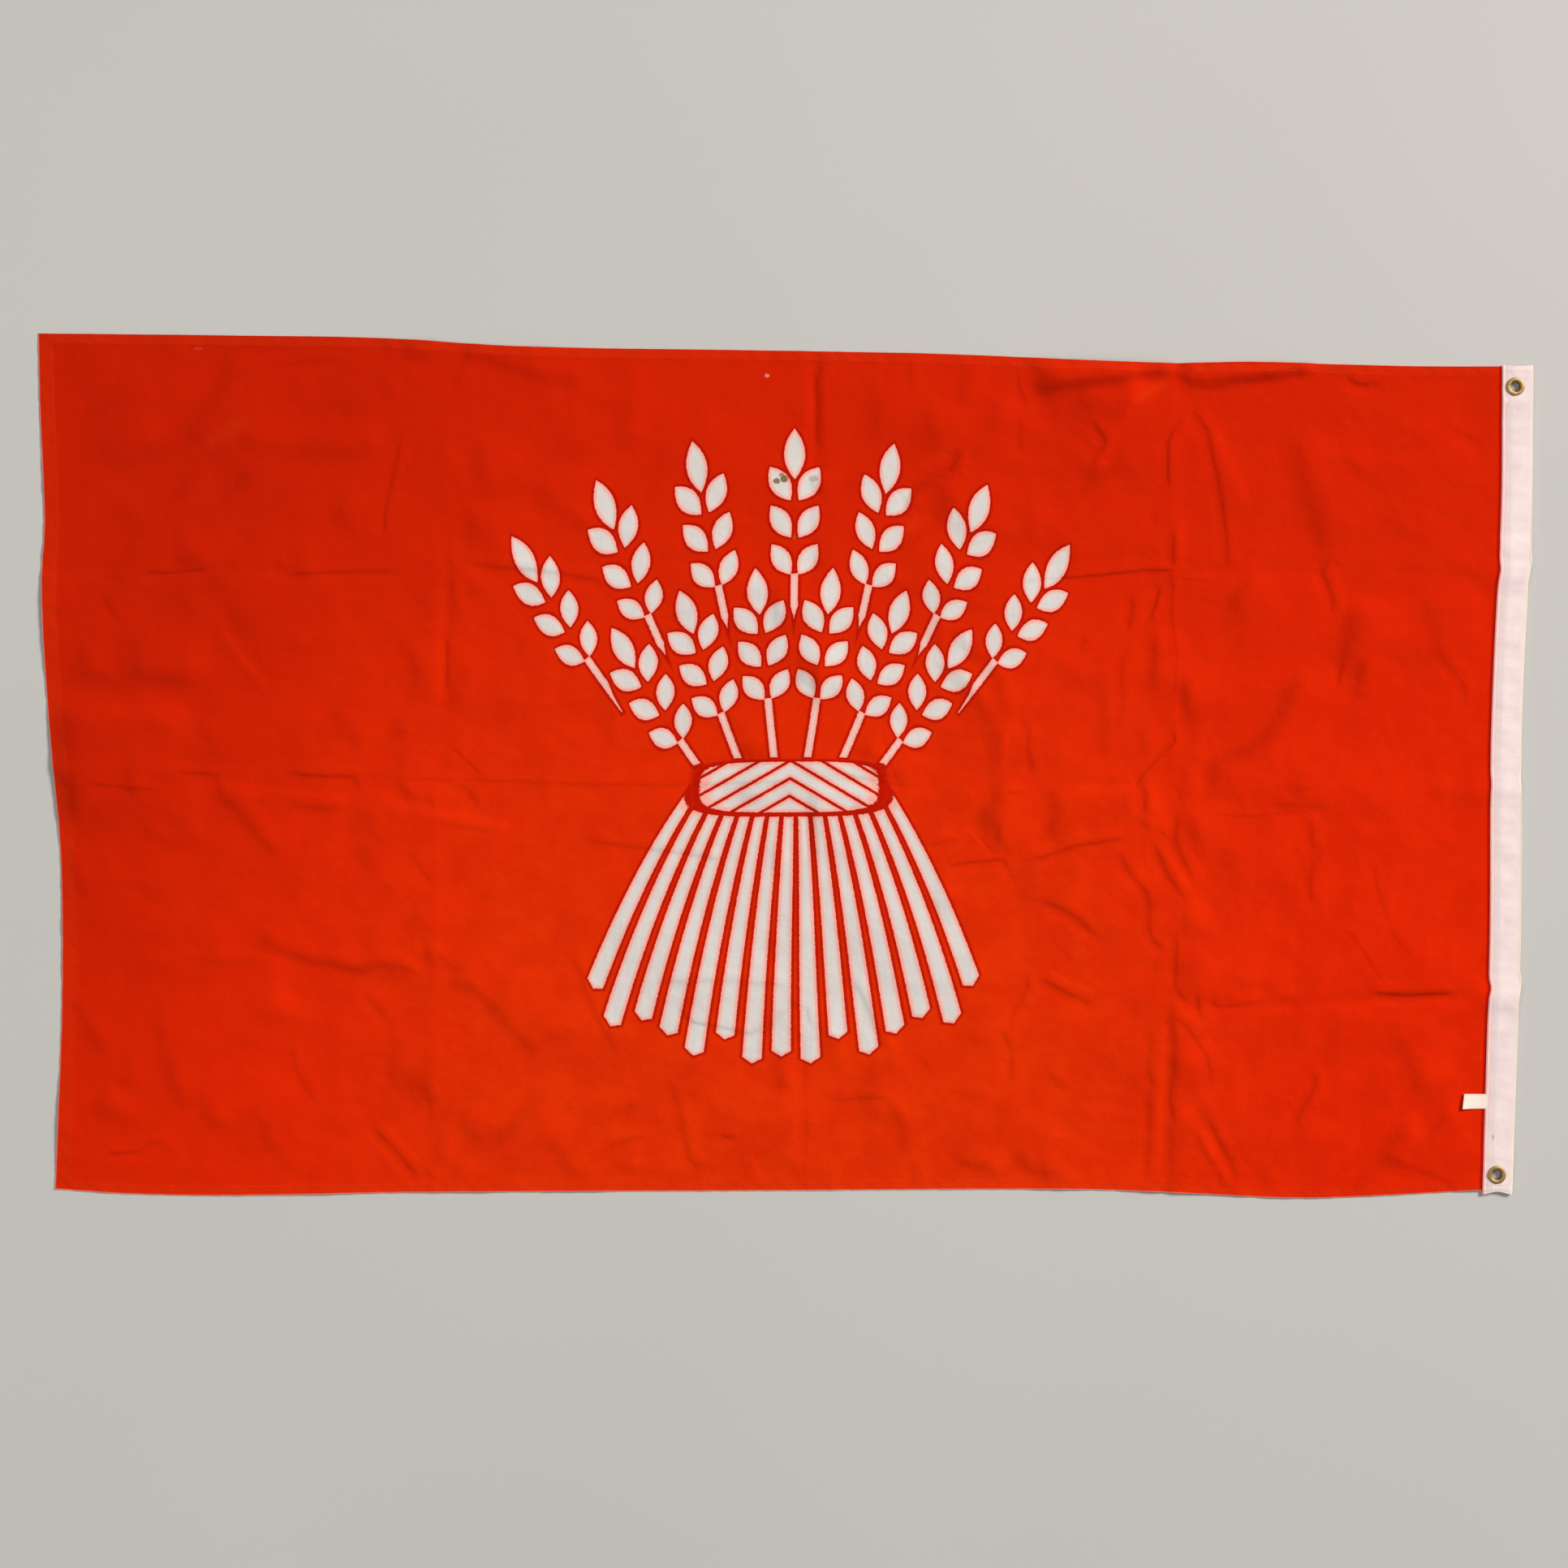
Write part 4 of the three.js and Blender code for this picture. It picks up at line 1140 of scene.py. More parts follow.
def cloth_net():
    """Plan and flat place of each point of the net, the tucked strip included."""
    across, down = np.meshgrid(across_lines, down_lines)
    x, y = plan_of(across, down)
    tucked_down = np.repeat(down_lines[:, None], len(TUCK), axis=1)
    tucked = plan_of(np.full(tucked_down.shape, float(PANELS)), tucked_down, np.array(TUCK))
    x = np.concatenate([x, tucked[0]], axis=1)
    y = np.concatenate([y, tucked[1]], axis=1)
    past = np.broadcast_to(TUCK, tucked_down.shape)
    flat_x = np.concatenate([(across - 2) * FLAT_PANEL[0], 2 * FLAT_PANEL[0] + past], axis=1)
    flat_y = np.concatenate([2 - down, 2 - tucked_down], axis=1) * FLAT_PANEL[1]
    return x, y, np.stack([flat_x.ravel(), flat_y.ravel()], axis=1)


def make_cloth():
    """The cloth: its underside at the height of the folds, its upper face a thickness above."""
    x, y, flat = cloth_net()
    under = cloth_lift(x, y)
    top = under + cloth_thickness(x, y)
    lower = np.stack([x, y, under], axis=2).reshape(-1, 3)
    upper = np.stack([x, y, top], axis=2).reshape(-1, 3)
    print("highest fold, mm:", round(float(top.max()), 2))
    # The cloth keeps the shade and highlight painted along its creases as a mark.
    marks = {"painted_crease_shading": crease_shading_paint(*wandered(x, y), SMALL_FOLDS)}
    for number, group in enumerate(mark_sets):
        steps, height = crease_marks(*wandered(x, y), group)
        marks[f"steps_{number}"] = steps
        marks[f"height_{number}"] = height
    return closed_sheet("red_cloth", upper, lower, net_quads(*x.shape), flat, marks)


red_cloth = make_cloth()
print("triangles of the cloth:", 2 * len(red_cloth.data.polygons))

# %% [markdown]
# ## The canvas heading
#
# The heading is one strip of canvas folded lengthwise over the cloth's edge. It is made the way it
# is sewn: a flat net of two leaves is bent round the outer fold. Along the seam the upper leaf's
# raw edge is turned in, which makes a narrow roll, then a groove where it is stitched down. The
# net is drawn round each eyelet hole by turning square rings of points into round ones.

# %% Heading profile
LEAF = 0.5
HEADING_THICK = 3.0
UPPER_LEAF = [
    [0, 1.85], [1.2, 2.5], [2.2, 2.36], [3.2, 1.95], [4.6, 2.3], [8, 2.6], [14, 2.75],
    [24, 2.7], [34, 2.7],
]
FOLD_RADIUS = (HEADING_THICK - LEAF) / 2
LOWER_LEAF = LEAF / 2
HOLE_HALF = 5.7
RING_HALF = 9.4
HEADING_MIDDLE = 15
NEAR_EYELET = (12, 45)
BESIDE_FOLD = [2.4, 0.0]
RING_PLACES = [-9.4, -7.5, -5.7, -3.8, -1.9, 0, 1.9, 3.8, 5.7, 7.5, 9.4]
SEAM_PLACES = [0, 0.6, 1.2, 1.9, 2.6, 3.2, 3.8]
FOLD_TURNS = np.radians(np.arange(22.5, 180, 22.5))

upper_leaf_height = smooth_line(UPPER_LEAF)


def eyelet_line(y):
    """x of the straight line through the two eyelets, at y."""
    (upper_x, upper_y), (lower_x, lower_y) = EYELET_PLACES.values()
    return lower_x + (upper_x - lower_x) * (y - lower_y) / (upper_y - lower_y)


def leaf_columns(y):
    """Distances from the seam of the lines of one leaf, for each place along the heading."""
    near = sum(1 - smooth_step(np.abs(y - at), *NEAR_EYELET) for _, at in EYELET_PLACES.values())
    middle = (near * (eyelet_line(y) - seam_at(y)) + (1 - near) * HEADING_MIDDLE)[:, None]
    width = (heading_edge_at(y) - seam_at(y))[:, None]
    seam_side = np.repeat([SEAM_PLACES], len(y), axis=0)
    rings = middle + np.array(RING_PLACES)
    outside = width - FOLD_RADIUS - np.array([BESIDE_FOLD])
    halfway = (rings[:, -1:] + outside[:, :1]) / 2
    return np.concatenate([seam_side, rings, halfway, outside], axis=1)


# %% [markdown]
# The rows of the net lie close together at the ends, where the strip is turned in, and round the
# eyelets, and evenly between.

# %% Rows of the heading
END_ROWS = [0, 0.7, 2.0, 3.4, 4.6, 5.8]
ROWS_BETWEEN_EYELETS = 228
ROWS_PAST_EYELET = 3


def heading_rows():
    """Places along the heading: fine at its ends and round the eyelets, even elsewhere."""
    top = SEAM[-1][0]
    bottom = SEAM[0][0]
    (_, upper_y), (_, lower_y) = EYELET_PLACES.values()
    rings = np.array(RING_PLACES)
    end = np.array(END_ROWS)
    lower_rings = lower_y + rings
    upper_rings = upper_y + rings
    pieces = [
        bottom + end,
        np.linspace(bottom + end[-1], lower_rings[0], ROWS_PAST_EYELET)[1:-1],
        lower_rings,
        np.linspace(lower_rings[-1], upper_rings[0], ROWS_BETWEEN_EYELETS)[1:-1],
        upper_rings,
        np.linspace(upper_rings[-1], top - end[-1], ROWS_PAST_EYELET)[1:-1],
        (top - end)[::-1],
    ]
    return np.concatenate(pieces)[::-1]


print("rows of the heading:", len(heading_rows()))

# %% [markdown]
# The ends of the strip are cut and turned in as well: the top end is a shallow hollow with a
# raised fold line behind it, and the bottom end is notched in the middle.

# %% Net of the heading
HOLE_MARGIN = 0.1
FLANGE_RADIUS = 9.45
PUCKER_REACH = 6
PUCKERS_ROUND = 5
PUCKER_PHASE = 0.8
TINY = 1e-6


def ring_to_round(away, along):
    """Turns square rings of points round an eyelet into round ones.

    A point at a distance m along the square's axes goes to radius m at the hole, and keeps its
    place at the last ring, with a straight blend between them.
    """
    square = np.maximum(np.abs(away), np.abs(along))
    radius = np.maximum(np.hypot(away, along), TINY)
    share = np.clip((RING_HALF - square) / (RING_HALF - HOLE_HALF), 0, 1)
    scale = (1 - share) + share * square / radius
    return away * scale, along * scale


def heading_net():
    """Flat net of the heading: distance from the seam, place along, turn round the fold."""
    y_rows = heading_rows()
    leaf = leaf_columns(y_rows)
    turns = np.repeat(FOLD_TURNS[None], len(y_rows), axis=0)
    straight = np.zeros_like(leaf)
    away = np.concatenate([leaf, np.repeat(leaf[:, -1:], len(FOLD_TURNS), 1), leaf[:, ::-1]], 1)
    turn = np.concatenate([straight, turns, straight + np.pi], axis=1)
    along = np.repeat(y_rows[:, None], away.shape[1], axis=1)
    return away, along, turn


def round_holes(away, along):
    """The net drawn round both eyelets, the points that a hole takes, and the puckers there.

    The puckers go up and down five times round a flange, and fade outwards in a bell.
    """
    hole = np.zeros(away.shape, bool)
    pucker = np.zeros(away.shape)
    for _, eyelet_y in EYELET_PLACES.values():
        dx = away - (eyelet_line(along) - seam_at(along))
        dy = along - eyelet_y
        square = np.maximum(np.abs(dx), np.abs(dy))
        hole |= square < HOLE_HALF + HOLE_MARGIN
        moved_x, moved_y = ring_to_round(dx, dy)
        inside = square <= RING_HALF
        away = np.where(inside, away - dx + moved_x, away)
        along = np.where(inside, eyelet_y + moved_y, along)
        outside = np.hypot(moved_x, moved_y) - FLANGE_RADIUS
        angle = np.arctan2(moved_y, moved_x)
        fade = np.exp(-((outside / PUCKER_REACH) ** 2)) * (outside > 0)
        pucker += fade * np.sin(PUCKERS_ROUND * angle + PUCKER_PHASE)
    return away, along, hole, pucker


# %% [markdown]
# The height is found for the flat net, and then the net is bent: a leaf is raised to it, and the
# fold goes round half a circle between the two leaves.

# %% Heading as a folded sheet
END_DIP_TOP = 1.3
END_DIP_BOTTOM = 2.8
END_REACH = 5
END_FOLD = [4.6, 0.35, 1.0]
PUFF = [[0.22, 31, 0.4], [0.13, 13, 2.0]]
RADIAL_PUCKER = 0.22


def heading_height(away, along, turn, side, pucker):
    """Height above the underside: the upper leaf with its puckers, the fold or the lower leaf."""
    puff = sum(a * np.sin(2 * np.pi * along / length + p) for a, length, p in PUFF) * side
    from_ends = (SEAM[-1][0] - along, along - SEAM[0][0])
    place, rise, half = END_FOLD
    end_fold = sum(rise * np.exp(-(((d - place) / half) ** 2)) for d in from_ends)
    upper = upper_leaf_height(away) + puff + end_fold + RADIAL_PUCKER * pucker
    height = np.where(turn < TINY, upper, np.where(turn > np.pi - TINY, LOWER_LEAF, 0))
    in_fold = (turn > TINY) & (turn < np.pi - TINY)
    return np.where(in_fold, HEADING_THICK / 2 + FOLD_RADIUS * np.cos(turn), height)


def make_heading():
    """The canvas strip: two leaves and the fold, with a hole through both at each eyelet."""
    away, along, turn = heading_net()
    away, along, hole, pucker = round_holes(away, along)
    width = heading_edge_at(along) - seam_at(along)
    side = np.sin(np.pi * np.clip(away / width, 0, 1))
    drawn = along - END_DIP_TOP * side * np.exp(-(SEAM[-1][0] - along) / END_REACH)
    drawn = drawn + END_DIP_BOTTOM * side**2 * np.exp(-(along - SEAM[0][0]) / END_REACH)
    x = seam_at(along) + away + FOLD_RADIUS * np.sin(turn)
    z = heading_lift(along) + heading_height(away, along, turn, side, pucker)
    upper, lower = both_faces(np.stack([x, drawn, z], axis=2), LEAF)
    back = 2 * width + np.pi * FOLD_RADIUS - away
    flat_x = np.where(turn > np.pi / 2, back, away + FOLD_RADIUS * turn)
    flat = np.stack([flat_x.ravel(), along.ravel()], axis=1)
    quads = net_quads(*away.shape)
    kept = ~hole.ravel()[quads].all(axis=1)
    return closed_sheet("canvas_heading", upper, lower, quads[kept], flat)


canvas_heading = make_heading()
print("triangles of the heading:", 2 * len(canvas_heading.data.polygons))

# %% [markdown]
# ## Stitches
#
# A row of machine stitches is hundreds of short threads, each a little arch that dives into the
# cloth at both ends. One small capsule is copied along each row as arrays, so a whole row is one
# mesh. Bump could fake them, but close up the real ones stand proud and cast shadows.

# %% Stitch rows
STITCH_PITCH = 3.6
STITCH_LENGTH = 2.9
THREAD = 0.24
STITCH_SIDES = 6
STITCH_RINGS = [
    [-1, 0.35, -1.2],
    [-0.72, 0.85, -0.1],
    [0, 1, 0.35],
    [0.72, 0.85, -0.1],
    [1, 0.35, -1.2],
]


def even_places(x, y, pitch):
    """Places a pitch apart along a line of points, with the line's direction at each."""
    steps = np.hypot(np.diff(x), np.diff(y))
    length = np.concatenate([[0], np.cumsum(steps)])
    at = np.arange(pitch, length[-1] - pitch / 2, pitch)
    px = np.interp(at, length, x)
    py = np.interp(at, length, y)
    run = np.stack([np.gradient(px), np.gradient(py)], axis=1)
    return px, py, run / np.linalg.norm(run, axis=1, keepdims=True)


def stitch_mesh(name, x, y, z, run):
    """Capsules at the places: a ring at each of five stations, joined and closed by two caps.

    A station says how far along the stitch its ring is, how thick the thread is there and how
    high its middle lies, and the whole stitch leans with the slope of the cloth.
    """
    turns = np.arange(STITCH_SIDES) * 2 * np.pi / STITCH_SIDES
    rings = np.array(STITCH_RINGS)
    local_run = np.repeat(rings[:, :1] * STITCH_LENGTH / 2, STITCH_SIDES, 1).ravel()
    local_side = (rings[:, 1:2] * THREAD * np.cos(turns)).ravel()
    local_up = (rings[:, 1:2] * THREAD * np.sin(turns) + rings[:, 2:3] * THREAD).ravel()
    across = np.stack([-run[:, 1], run[:, 0]], axis=1)
    flat = run[:, None] * local_run[:, None] + across[:, None] * local_side[:, None]
    slope = np.gradient(z) / STITCH_PITCH
    rise = z[:, None] + local_up + slope[:, None] * local_run
    px = x[:, None] + flat[:, :, 0]
    py = y[:, None] + flat[:, :, 1]
    points = np.stack([px, py, rise], axis=2).reshape(-1, 3)
    ring = np.arange(STITCH_SIDES)
    nxt = np.roll(ring, -1)
    bands = [
        np.stack([ring + s, nxt + s, nxt + s + STITCH_SIDES, ring + s + STITCH_SIDES], axis=1)
        for s in np.arange(len(rings) - 1) * STITCH_SIDES
    ]
    last = (len(rings) - 1) * STITCH_SIDES
    caps = np.array([[3, 2, 1, 0], [5, 4, 3, 0]])
    ends = np.array([[0, 1, 2, 3], [0, 3, 4, 5]]) + last
    one = np.concatenate([*bands, caps, ends])
    offsets = np.arange(len(x)) * len(rings) * STITCH_SIDES
    quads = (offsets[:, None, None] + one).reshape(-1, 4)
    return put_mesh(name, points, quads)


# %% [markdown]
# The hems are sewn in one go: along the top, down the fly and back along the bottom. The row is
# first a path in counts of panels, so it follows every waver of the edges.

# %% Stitches of the hems
SHORT_OF_SEAM = 0.004
LONG_RUN = 600
SHORT_RUN = 300


def hem_path():
    """The stitch line of the three hems, from the seam along the top, fly and bottom."""
    top = (EDGE_HEM - STITCH_INSET) / edge_panel
    fly = (FLY_HEM - STITCH_INSET) / fly_panel
    span = np.linspace(PANELS - SHORT_OF_SEAM, fly, LONG_RUN)
    down = np.linspace(top, PANELS - top, SHORT_RUN)
    across = np.concatenate([span, np.full(SHORT_RUN, fly), span[::-1]])
    counts = np.concatenate([np.full(LONG_RUN, top), down, np.full(LONG_RUN, PANELS - top)])
    return plan_of(across, counts)


hem_x, hem_y, hem_run = even_places(*hem_path(), STITCH_PITCH)
hem_z = cloth_lift(hem_x, hem_y) + cloth_thickness(hem_x, hem_y)
hem_stitches = stitch_mesh("hem_stitches", hem_x, hem_y, hem_z, hem_run)
print("stitches in the hems:", len(hem_x))

# %% [markdown]
# The heading has one long row in the groove beside its seam, and a short one across each end.

# %% Stitches of the heading
SEAM_STITCH = 3.2
SEAM_ROW_INSET = 3
END_STITCH = 6.2
END_ROW_REACH = 27
END_RUN = 40
SEAM_RUN = 500


def heading_stitches():
    """One row in the groove beside the seam, and a short one across each turned-in end."""
    rows = []
    y = np.linspace(SEAM[0][0] + SEAM_ROW_INSET, SEAM[-1][0] - SEAM_ROW_INSET, SEAM_RUN)
    rows.append((seam_at(y) + SEAM_STITCH, y))
    for end in (SEAM[-1][0] - END_STITCH, SEAM[0][0] + END_STITCH):
        away = np.linspace(SEAM_STITCH, END_ROW_REACH, END_RUN)
        rows.append((seam_at(end) + away, np.full(END_RUN, float(end))))
    placed = [even_places(x, y, STITCH_PITCH) for x, y in rows]
    x, y, run = (np.concatenate(parts) for parts in zip(*placed))
    z = heading_lift(y) + upper_leaf_height(x - seam_at(y)) + LEAF / 2
    return stitch_mesh("heading_stitches", x, y, z, run)


seam_stitches = heading_stitches()
print("triangles of the heading's stitches:", 2 * len(seam_stitches.data.polygons))

# %% [markdown]
# ## Brass eyelets
#
# Each eyelet is turned sheet brass: a domed ring above, a barrel through the canvas and a flange
# below. A profile carried round an axis makes it, and as the profile closes on itself there is
# no pole. Real ones are clenched by a punch, so the ring's height wavers slightly.

# %% Eyelets
EYELET_HEIGHT = 5.4
HOLE_RADIUS = 4.75
BARREL_RADIUS = 5.3
DOME_RADIUS = 7.2


def arc(centre_r, centre_z, radius_r, radius_z, start, end, count):
    """Points of a stretch of an ellipse, from one angle in degrees to another."""
    angle = np.radians(np.linspace(start, end, count))
    return np.stack([centre_r + radius_r * np.cos(angle), centre_z + radius_z * np.sin(angle)], 1)


def eyelet_profile():
    """Radius and height round the section: hole, lower flange, barrel, domed upper ring."""
    crown = EYELET_HEIGHT
    return np.concatenate([
        arc(6.15, 1.15, 1.4, 1.15, 180, 270, 7),
        arc(8.9, 0.35, 0.55, 0.35, -90, 90, 7),
        [[6.1, 0.75], [BARREL_RADIUS, 1.3], [BARREL_RADIUS, 3.9], [6.0, 4.35]],
        arc(9.0, 4.55, 0.45, 0.3, -90, 20, 6),
        arc(DOME_RADIUS, 4.62, 2.1, crown - 4.62, 15, 90, 9)[1:],
        arc(DOME_RADIUS, 3.5, HOLE_RADIUS - DOME_RADIUS, crown - 3.5, 90, 0, 11)[1:],
        [[HOLE_RADIUS, 2.9], [HOLE_RADIUS, 1.9]],
    ])


print("eyelet, mm across:", round(2 * float(eyelet_profile()[:, 0].max()), 1))

# %% [markdown]
# The profile goes round in 96 steps. Its upper ring wavers in two waves and has one small dent.

# %% Eyelets round their axes
EYELET_SIDES = 96
RING_FROM = (3.6, 4.6)
RING_WAVES = [[0.05, 3, 1], [0.03, 7, 2]]
RING_DENT = 0.10
DENT_HALF_TURN = 0.22
RING_PRESSED = 0.08


def make_eyelet(name, place, phase):
    """The profile carried round the eyelet's axis, with a faint waver in the ring's height."""
    profile = eyelet_profile()
    angle = np.arange(EYELET_SIDES) * 2 * np.pi / EYELET_SIDES
    radius = profile[:, 0][None] + np.zeros((EYELET_SIDES, 1))
    upper = smooth_step(profile[:, 1], *RING_FROM)[None]
    waver = sum(a * np.sin(n * angle + p * phase) for a, n, p in RING_WAVES)
    from_dent = np.angle(np.exp(1j * (angle - phase)))
    dent = RING_DENT * np.exp(-((from_dent / DENT_HALF_TURN) ** 2))
    height = profile[:, 1][None] + upper * (waver - dent)[:, None] - RING_PRESSED * upper
    x = place[0] + radius * np.cos(angle)[:, None]
    y = place[1] + radius * np.sin(angle)[:, None]
    points = np.stack([x, y, height], axis=2).reshape(-1, 3)
    count = len(profile)
    i, j = np.meshgrid(np.arange(EYELET_SIDES), np.arange(count), indexing="ij")
    ahead = (i + 1) % EYELET_SIDES
    after = (j + 1) % count
    near_side = [i * count + j, i * count + after]
    far_side = [ahead * count + after, ahead * count + j]
    quads = np.stack([*near_side, *far_side], axis=2)
    return put_mesh(name, points, quads.reshape(-1, 4)[:, ::-1])


brass_upper = make_eyelet("brass_eyelet_upper", EYELET_PLACES["eyelet_upper"], 0.9)
brass_lower = make_eyelet("brass_eyelet_lower", EYELET_PLACES["eyelet_lower"], 3.7)
print("triangles of an eyelet:", 2 * len(brass_lower.data.polygons))

# %% [markdown]
# ## Ribbon tab
#
# A short ribbon is folded in two and caught in the heading's seam. It stands a little off the
# cloth at its folded end, and its lower corner is turned up. The strip follows one path: out
# along the lower leaf, round the end and back along the upper one.

# %% Tab
TAB_LENGTH = 22.5
TAB_LOW = -354.6
TAB_HIGH = -339.6
TAB_SKEW = 1.6
RIBBON = 0.26
TAB_GAP = 0.42
TAB_LEAP = 1.5
CORNER_CURL = 1.5
TAB_CAUGHT = 2.0
TAB_CELLS = 15
TAB_ROWS = 13
TAB_STIFF = 0.3
TAB_BOW = 0.35
TAB_SPREAD = 0.5


def tab_path():
    """Distance out along the ribbon and turn round its end, for each point of its path."""
    caught = np.linspace(-TAB_CAUGHT, 0, 3)[:-1]
    out = np.concatenate([caught, np.linspace(0, 1, TAB_CELLS + 1) * TAB_LENGTH])
    turns = np.radians(np.arange(22.5, 180, 22.5))
    away = np.concatenate([out, np.full(len(turns), TAB_LENGTH), out[::-1]])
    turn = np.concatenate([np.zeros(len(out)), turns, np.full(len(out), np.pi)])
    return away, turn


def make_tab():
    """The ribbon: its path goes out, turns half a circle and comes back, above the cloth.

    It leaves the cloth as outward^2, its lower corner curls up as outward^4 * (1 - share)^3, and
    it bows a little across, because a ribbon doesn't follow every dent of what it lies on.
    """
    away, turn = tab_path()
    away, share = np.meshgrid(away, np.linspace(1, 0, TAB_ROWS))
    turn = np.broadcast_to(turn, away.shape)
    y = TAB_LOW + (TAB_HIGH - TAB_LOW) * share
    outward = np.clip(away / TAB_LENGTH, 0, 1)
    length = away + TAB_SKEW * (0.5 - share) * outward + TAB_GAP * np.sin(turn)
    x = seam_at(y) - length
    rise = TAB_LEAP * outward**2 + CORNER_CURL * outward**4 * (1 - share) ** 3
    ground = cloth_lift(x, y) + cloth_thickness(x, y)
    ground = ground.min(axis=1, keepdims=True) * TAB_STIFF + ground * (1 - TAB_STIFF)
    bow = TAB_BOW * np.sin(np.pi * share) * outward
    z = ground + RIBBON + rise + bow + TAB_GAP * (1 - np.cos(turn))
    spread = y + TAB_SPREAD * outward * (share - 0.5)
    upper, lower = both_faces(np.stack([x, spread, z], axis=2), RIBBON)
    flat = np.stack([np.where(turn > np.pi / 2, 2 * TAB_LENGTH - away, away), y], axis=2)
    return closed_sheet("ribbon_tab", upper, lower, net_quads(*away.shape), flat.reshape(-1, 2))


ribbon_tab = make_tab()
tab_heights = [point.co.z for point in ribbon_tab.data.vertices]
print("the tab's lowest and highest point, m:", min(tab_heights), max(tab_heights))

# %% [markdown]
# ## Writing finishes as sums
#
# A finish is a graph of nodes. Adding each node by hand makes a long script in which the formula
# is lost. Here a wire stands for a socket, and sums on wires add the Math nodes, so a pattern
# reads like the formula it is. Every other node goes through one method.

# %% Wires
class Wire:
    """A number or colour on its way through the nodes of a finish."""

    def __init__(self, finish, socket):
        self.finish = finish
        self.socket = socket

    def sum(self, operation, *terms):
        return self.finish.node("ShaderNodeMath", {"operation": operation}, dict(enumerate(terms)))

    def __add__(self, other):
        return self.sum("ADD", self, other)

    def __radd__(self, other):
        return self.sum("ADD", other, self)

    def __sub__(self, other):
        return self.sum("SUBTRACT", self, other)

    def __rsub__(self, other):
        return self.sum("SUBTRACT", other, self)

    def __mul__(self, other):
        return self.sum("MULTIPLY", self, other)

    def __rmul__(self, other):
        return self.sum("MULTIPLY", other, self)

    def __truediv__(self, other):
        return self.sum("DIVIDE", self, other)

    def __rtruediv__(self, other):
        return self.sum("DIVIDE", other, self)

    def __pow__(self, other):
        return self.sum("POWER", self, other)

    def __abs__(self):
        return self.sum("ABSOLUTE", self)

    def least(self, other):
        return self.sum("MINIMUM", self, other)

    def most(self, other):
        return self.sum("MAXIMUM", self, other)

    def step(self, low, high):
        """0 below low, 1 above high and eased between; low may be the larger one."""
        values = {"Value": self, "From Min": low, "From Max": high}
        return self.finish.node("ShaderNodeMapRange", {"interpolation_type": "SMOOTHSTEP"}, values)


# %% [markdown]
# A finish holds one material and its nodes. It has a method for each kind of pattern that the
# flag needs, so that the finishes further down are short.

# %% Finishes
class Finish:
    """A material: its nodes are added by expressions, and end in the sockets of one shader."""

    def __init__(self, name, constants):
        self.material = bpy.data.materials.new(name)
        self.material.use_nodes = True
        self.tree = self.material.node_tree
        self.shader = self.tree.nodes["Principled BSDF"]
        for socket, value in constants.items():
            self.shader.inputs[socket].default_value = value

    def node(self, kind, settings, values, output=0):
        """Adds one node: its settings first, then the value or wire of each socket."""
        node = self.tree.nodes.new(kind)
        for name, setting in settings.items():
            setattr(node, name, setting)
        for name, value in values.items():
            if isinstance(value, Wire):
                self.tree.links.new(value.socket, node.inputs[name])
            else:
                node.inputs[name].default_value = value
        return Wire(self, node.outputs[output])

    def mix(self, share, first, second):
        """A colour between two."""
        values = {0: share, 6: first, 7: second}
        return self.node("ShaderNodeMix", {"data_type": "RGBA"}, values, output=2)

    def noise(self, place, scale, detail=2.0):
        """Soft noise from 0 to 1 with that many bumps to a unit of the place."""
        values = {"Vector": place, "Scale": scale, "Detail": detail}
        return self.node("ShaderNodeTexNoise", {}, values)

    def stretched(self, place, scale):
        """The place with each axis scaled on its own, to draw a pattern out in one direction."""
        return self.node("ShaderNodeMapping", {}, {"Vector": place, "Scale": scale})

    def parts(self, place):
        """The first two numbers of a place, in millimetres."""
        values = {"Vector": place}
        across = self.node("ShaderNodeSeparateXYZ", {}, values)
        up = self.node("ShaderNodeSeparateXYZ", {}, values, output=1)
        return across * 1000, up * 1000

    def put(self, socket, wire):
        """Leads a wire to a socket of the shader."""
        self.tree.links.new(wire.socket, self.shader.inputs[socket])

    def mark(self, name):
        """A number that the points of the mesh keep."""
        return self.node("ShaderNodeAttribute", {"attribute_name": name}, {}, output="Fac")

    def bump(self, height, distance, below=None):
        """A normal that follows a height, on top of another one."""
        values = {"Height": height, "Distance": distance, "Strength": 1.0}
        if below is not None:
            values["Normal"] = below
        return self.node("ShaderNodeBump", {}, values)


def linear(red, green, blue):
    """A colour as picked on the screen, from 0 to 255, in the numbers that shaders use."""
    picked = np.array([red, green, blue]) / 255
    light = np.where(picked <= 0.04045, picked / 12.92, ((picked + 0.055) / 1.055) ** 2.4)
    return (*light.tolist(), 1.0)


def dress(piece, material):
    """Gives a piece its material, and prints how many nodes the sums have made."""
    piece.data.materials.append(material)
    print(piece.name, "wears", material.name, "of", len(material.node_tree.nodes), "nodes")


# %% [markdown]
# ## The printed figure
#
# A large white figure fills the middle of the flag. This one is a plain sheaf of wheat. It could
# be an image, but a formula stays sharp at any size: each part is a distance, negative inside the
# white and positive outside, and parts are joined by taking the smaller distance.
#
# Ears fan out above the tie. In polar places round a point under the tie, an ear is one sector,
# and inside it pairs of leaf-shaped grains repeat along the ear. The ears stand in two rows, the
# front row half a step aside, and each row cuts a thin red line out of what lies behind it.

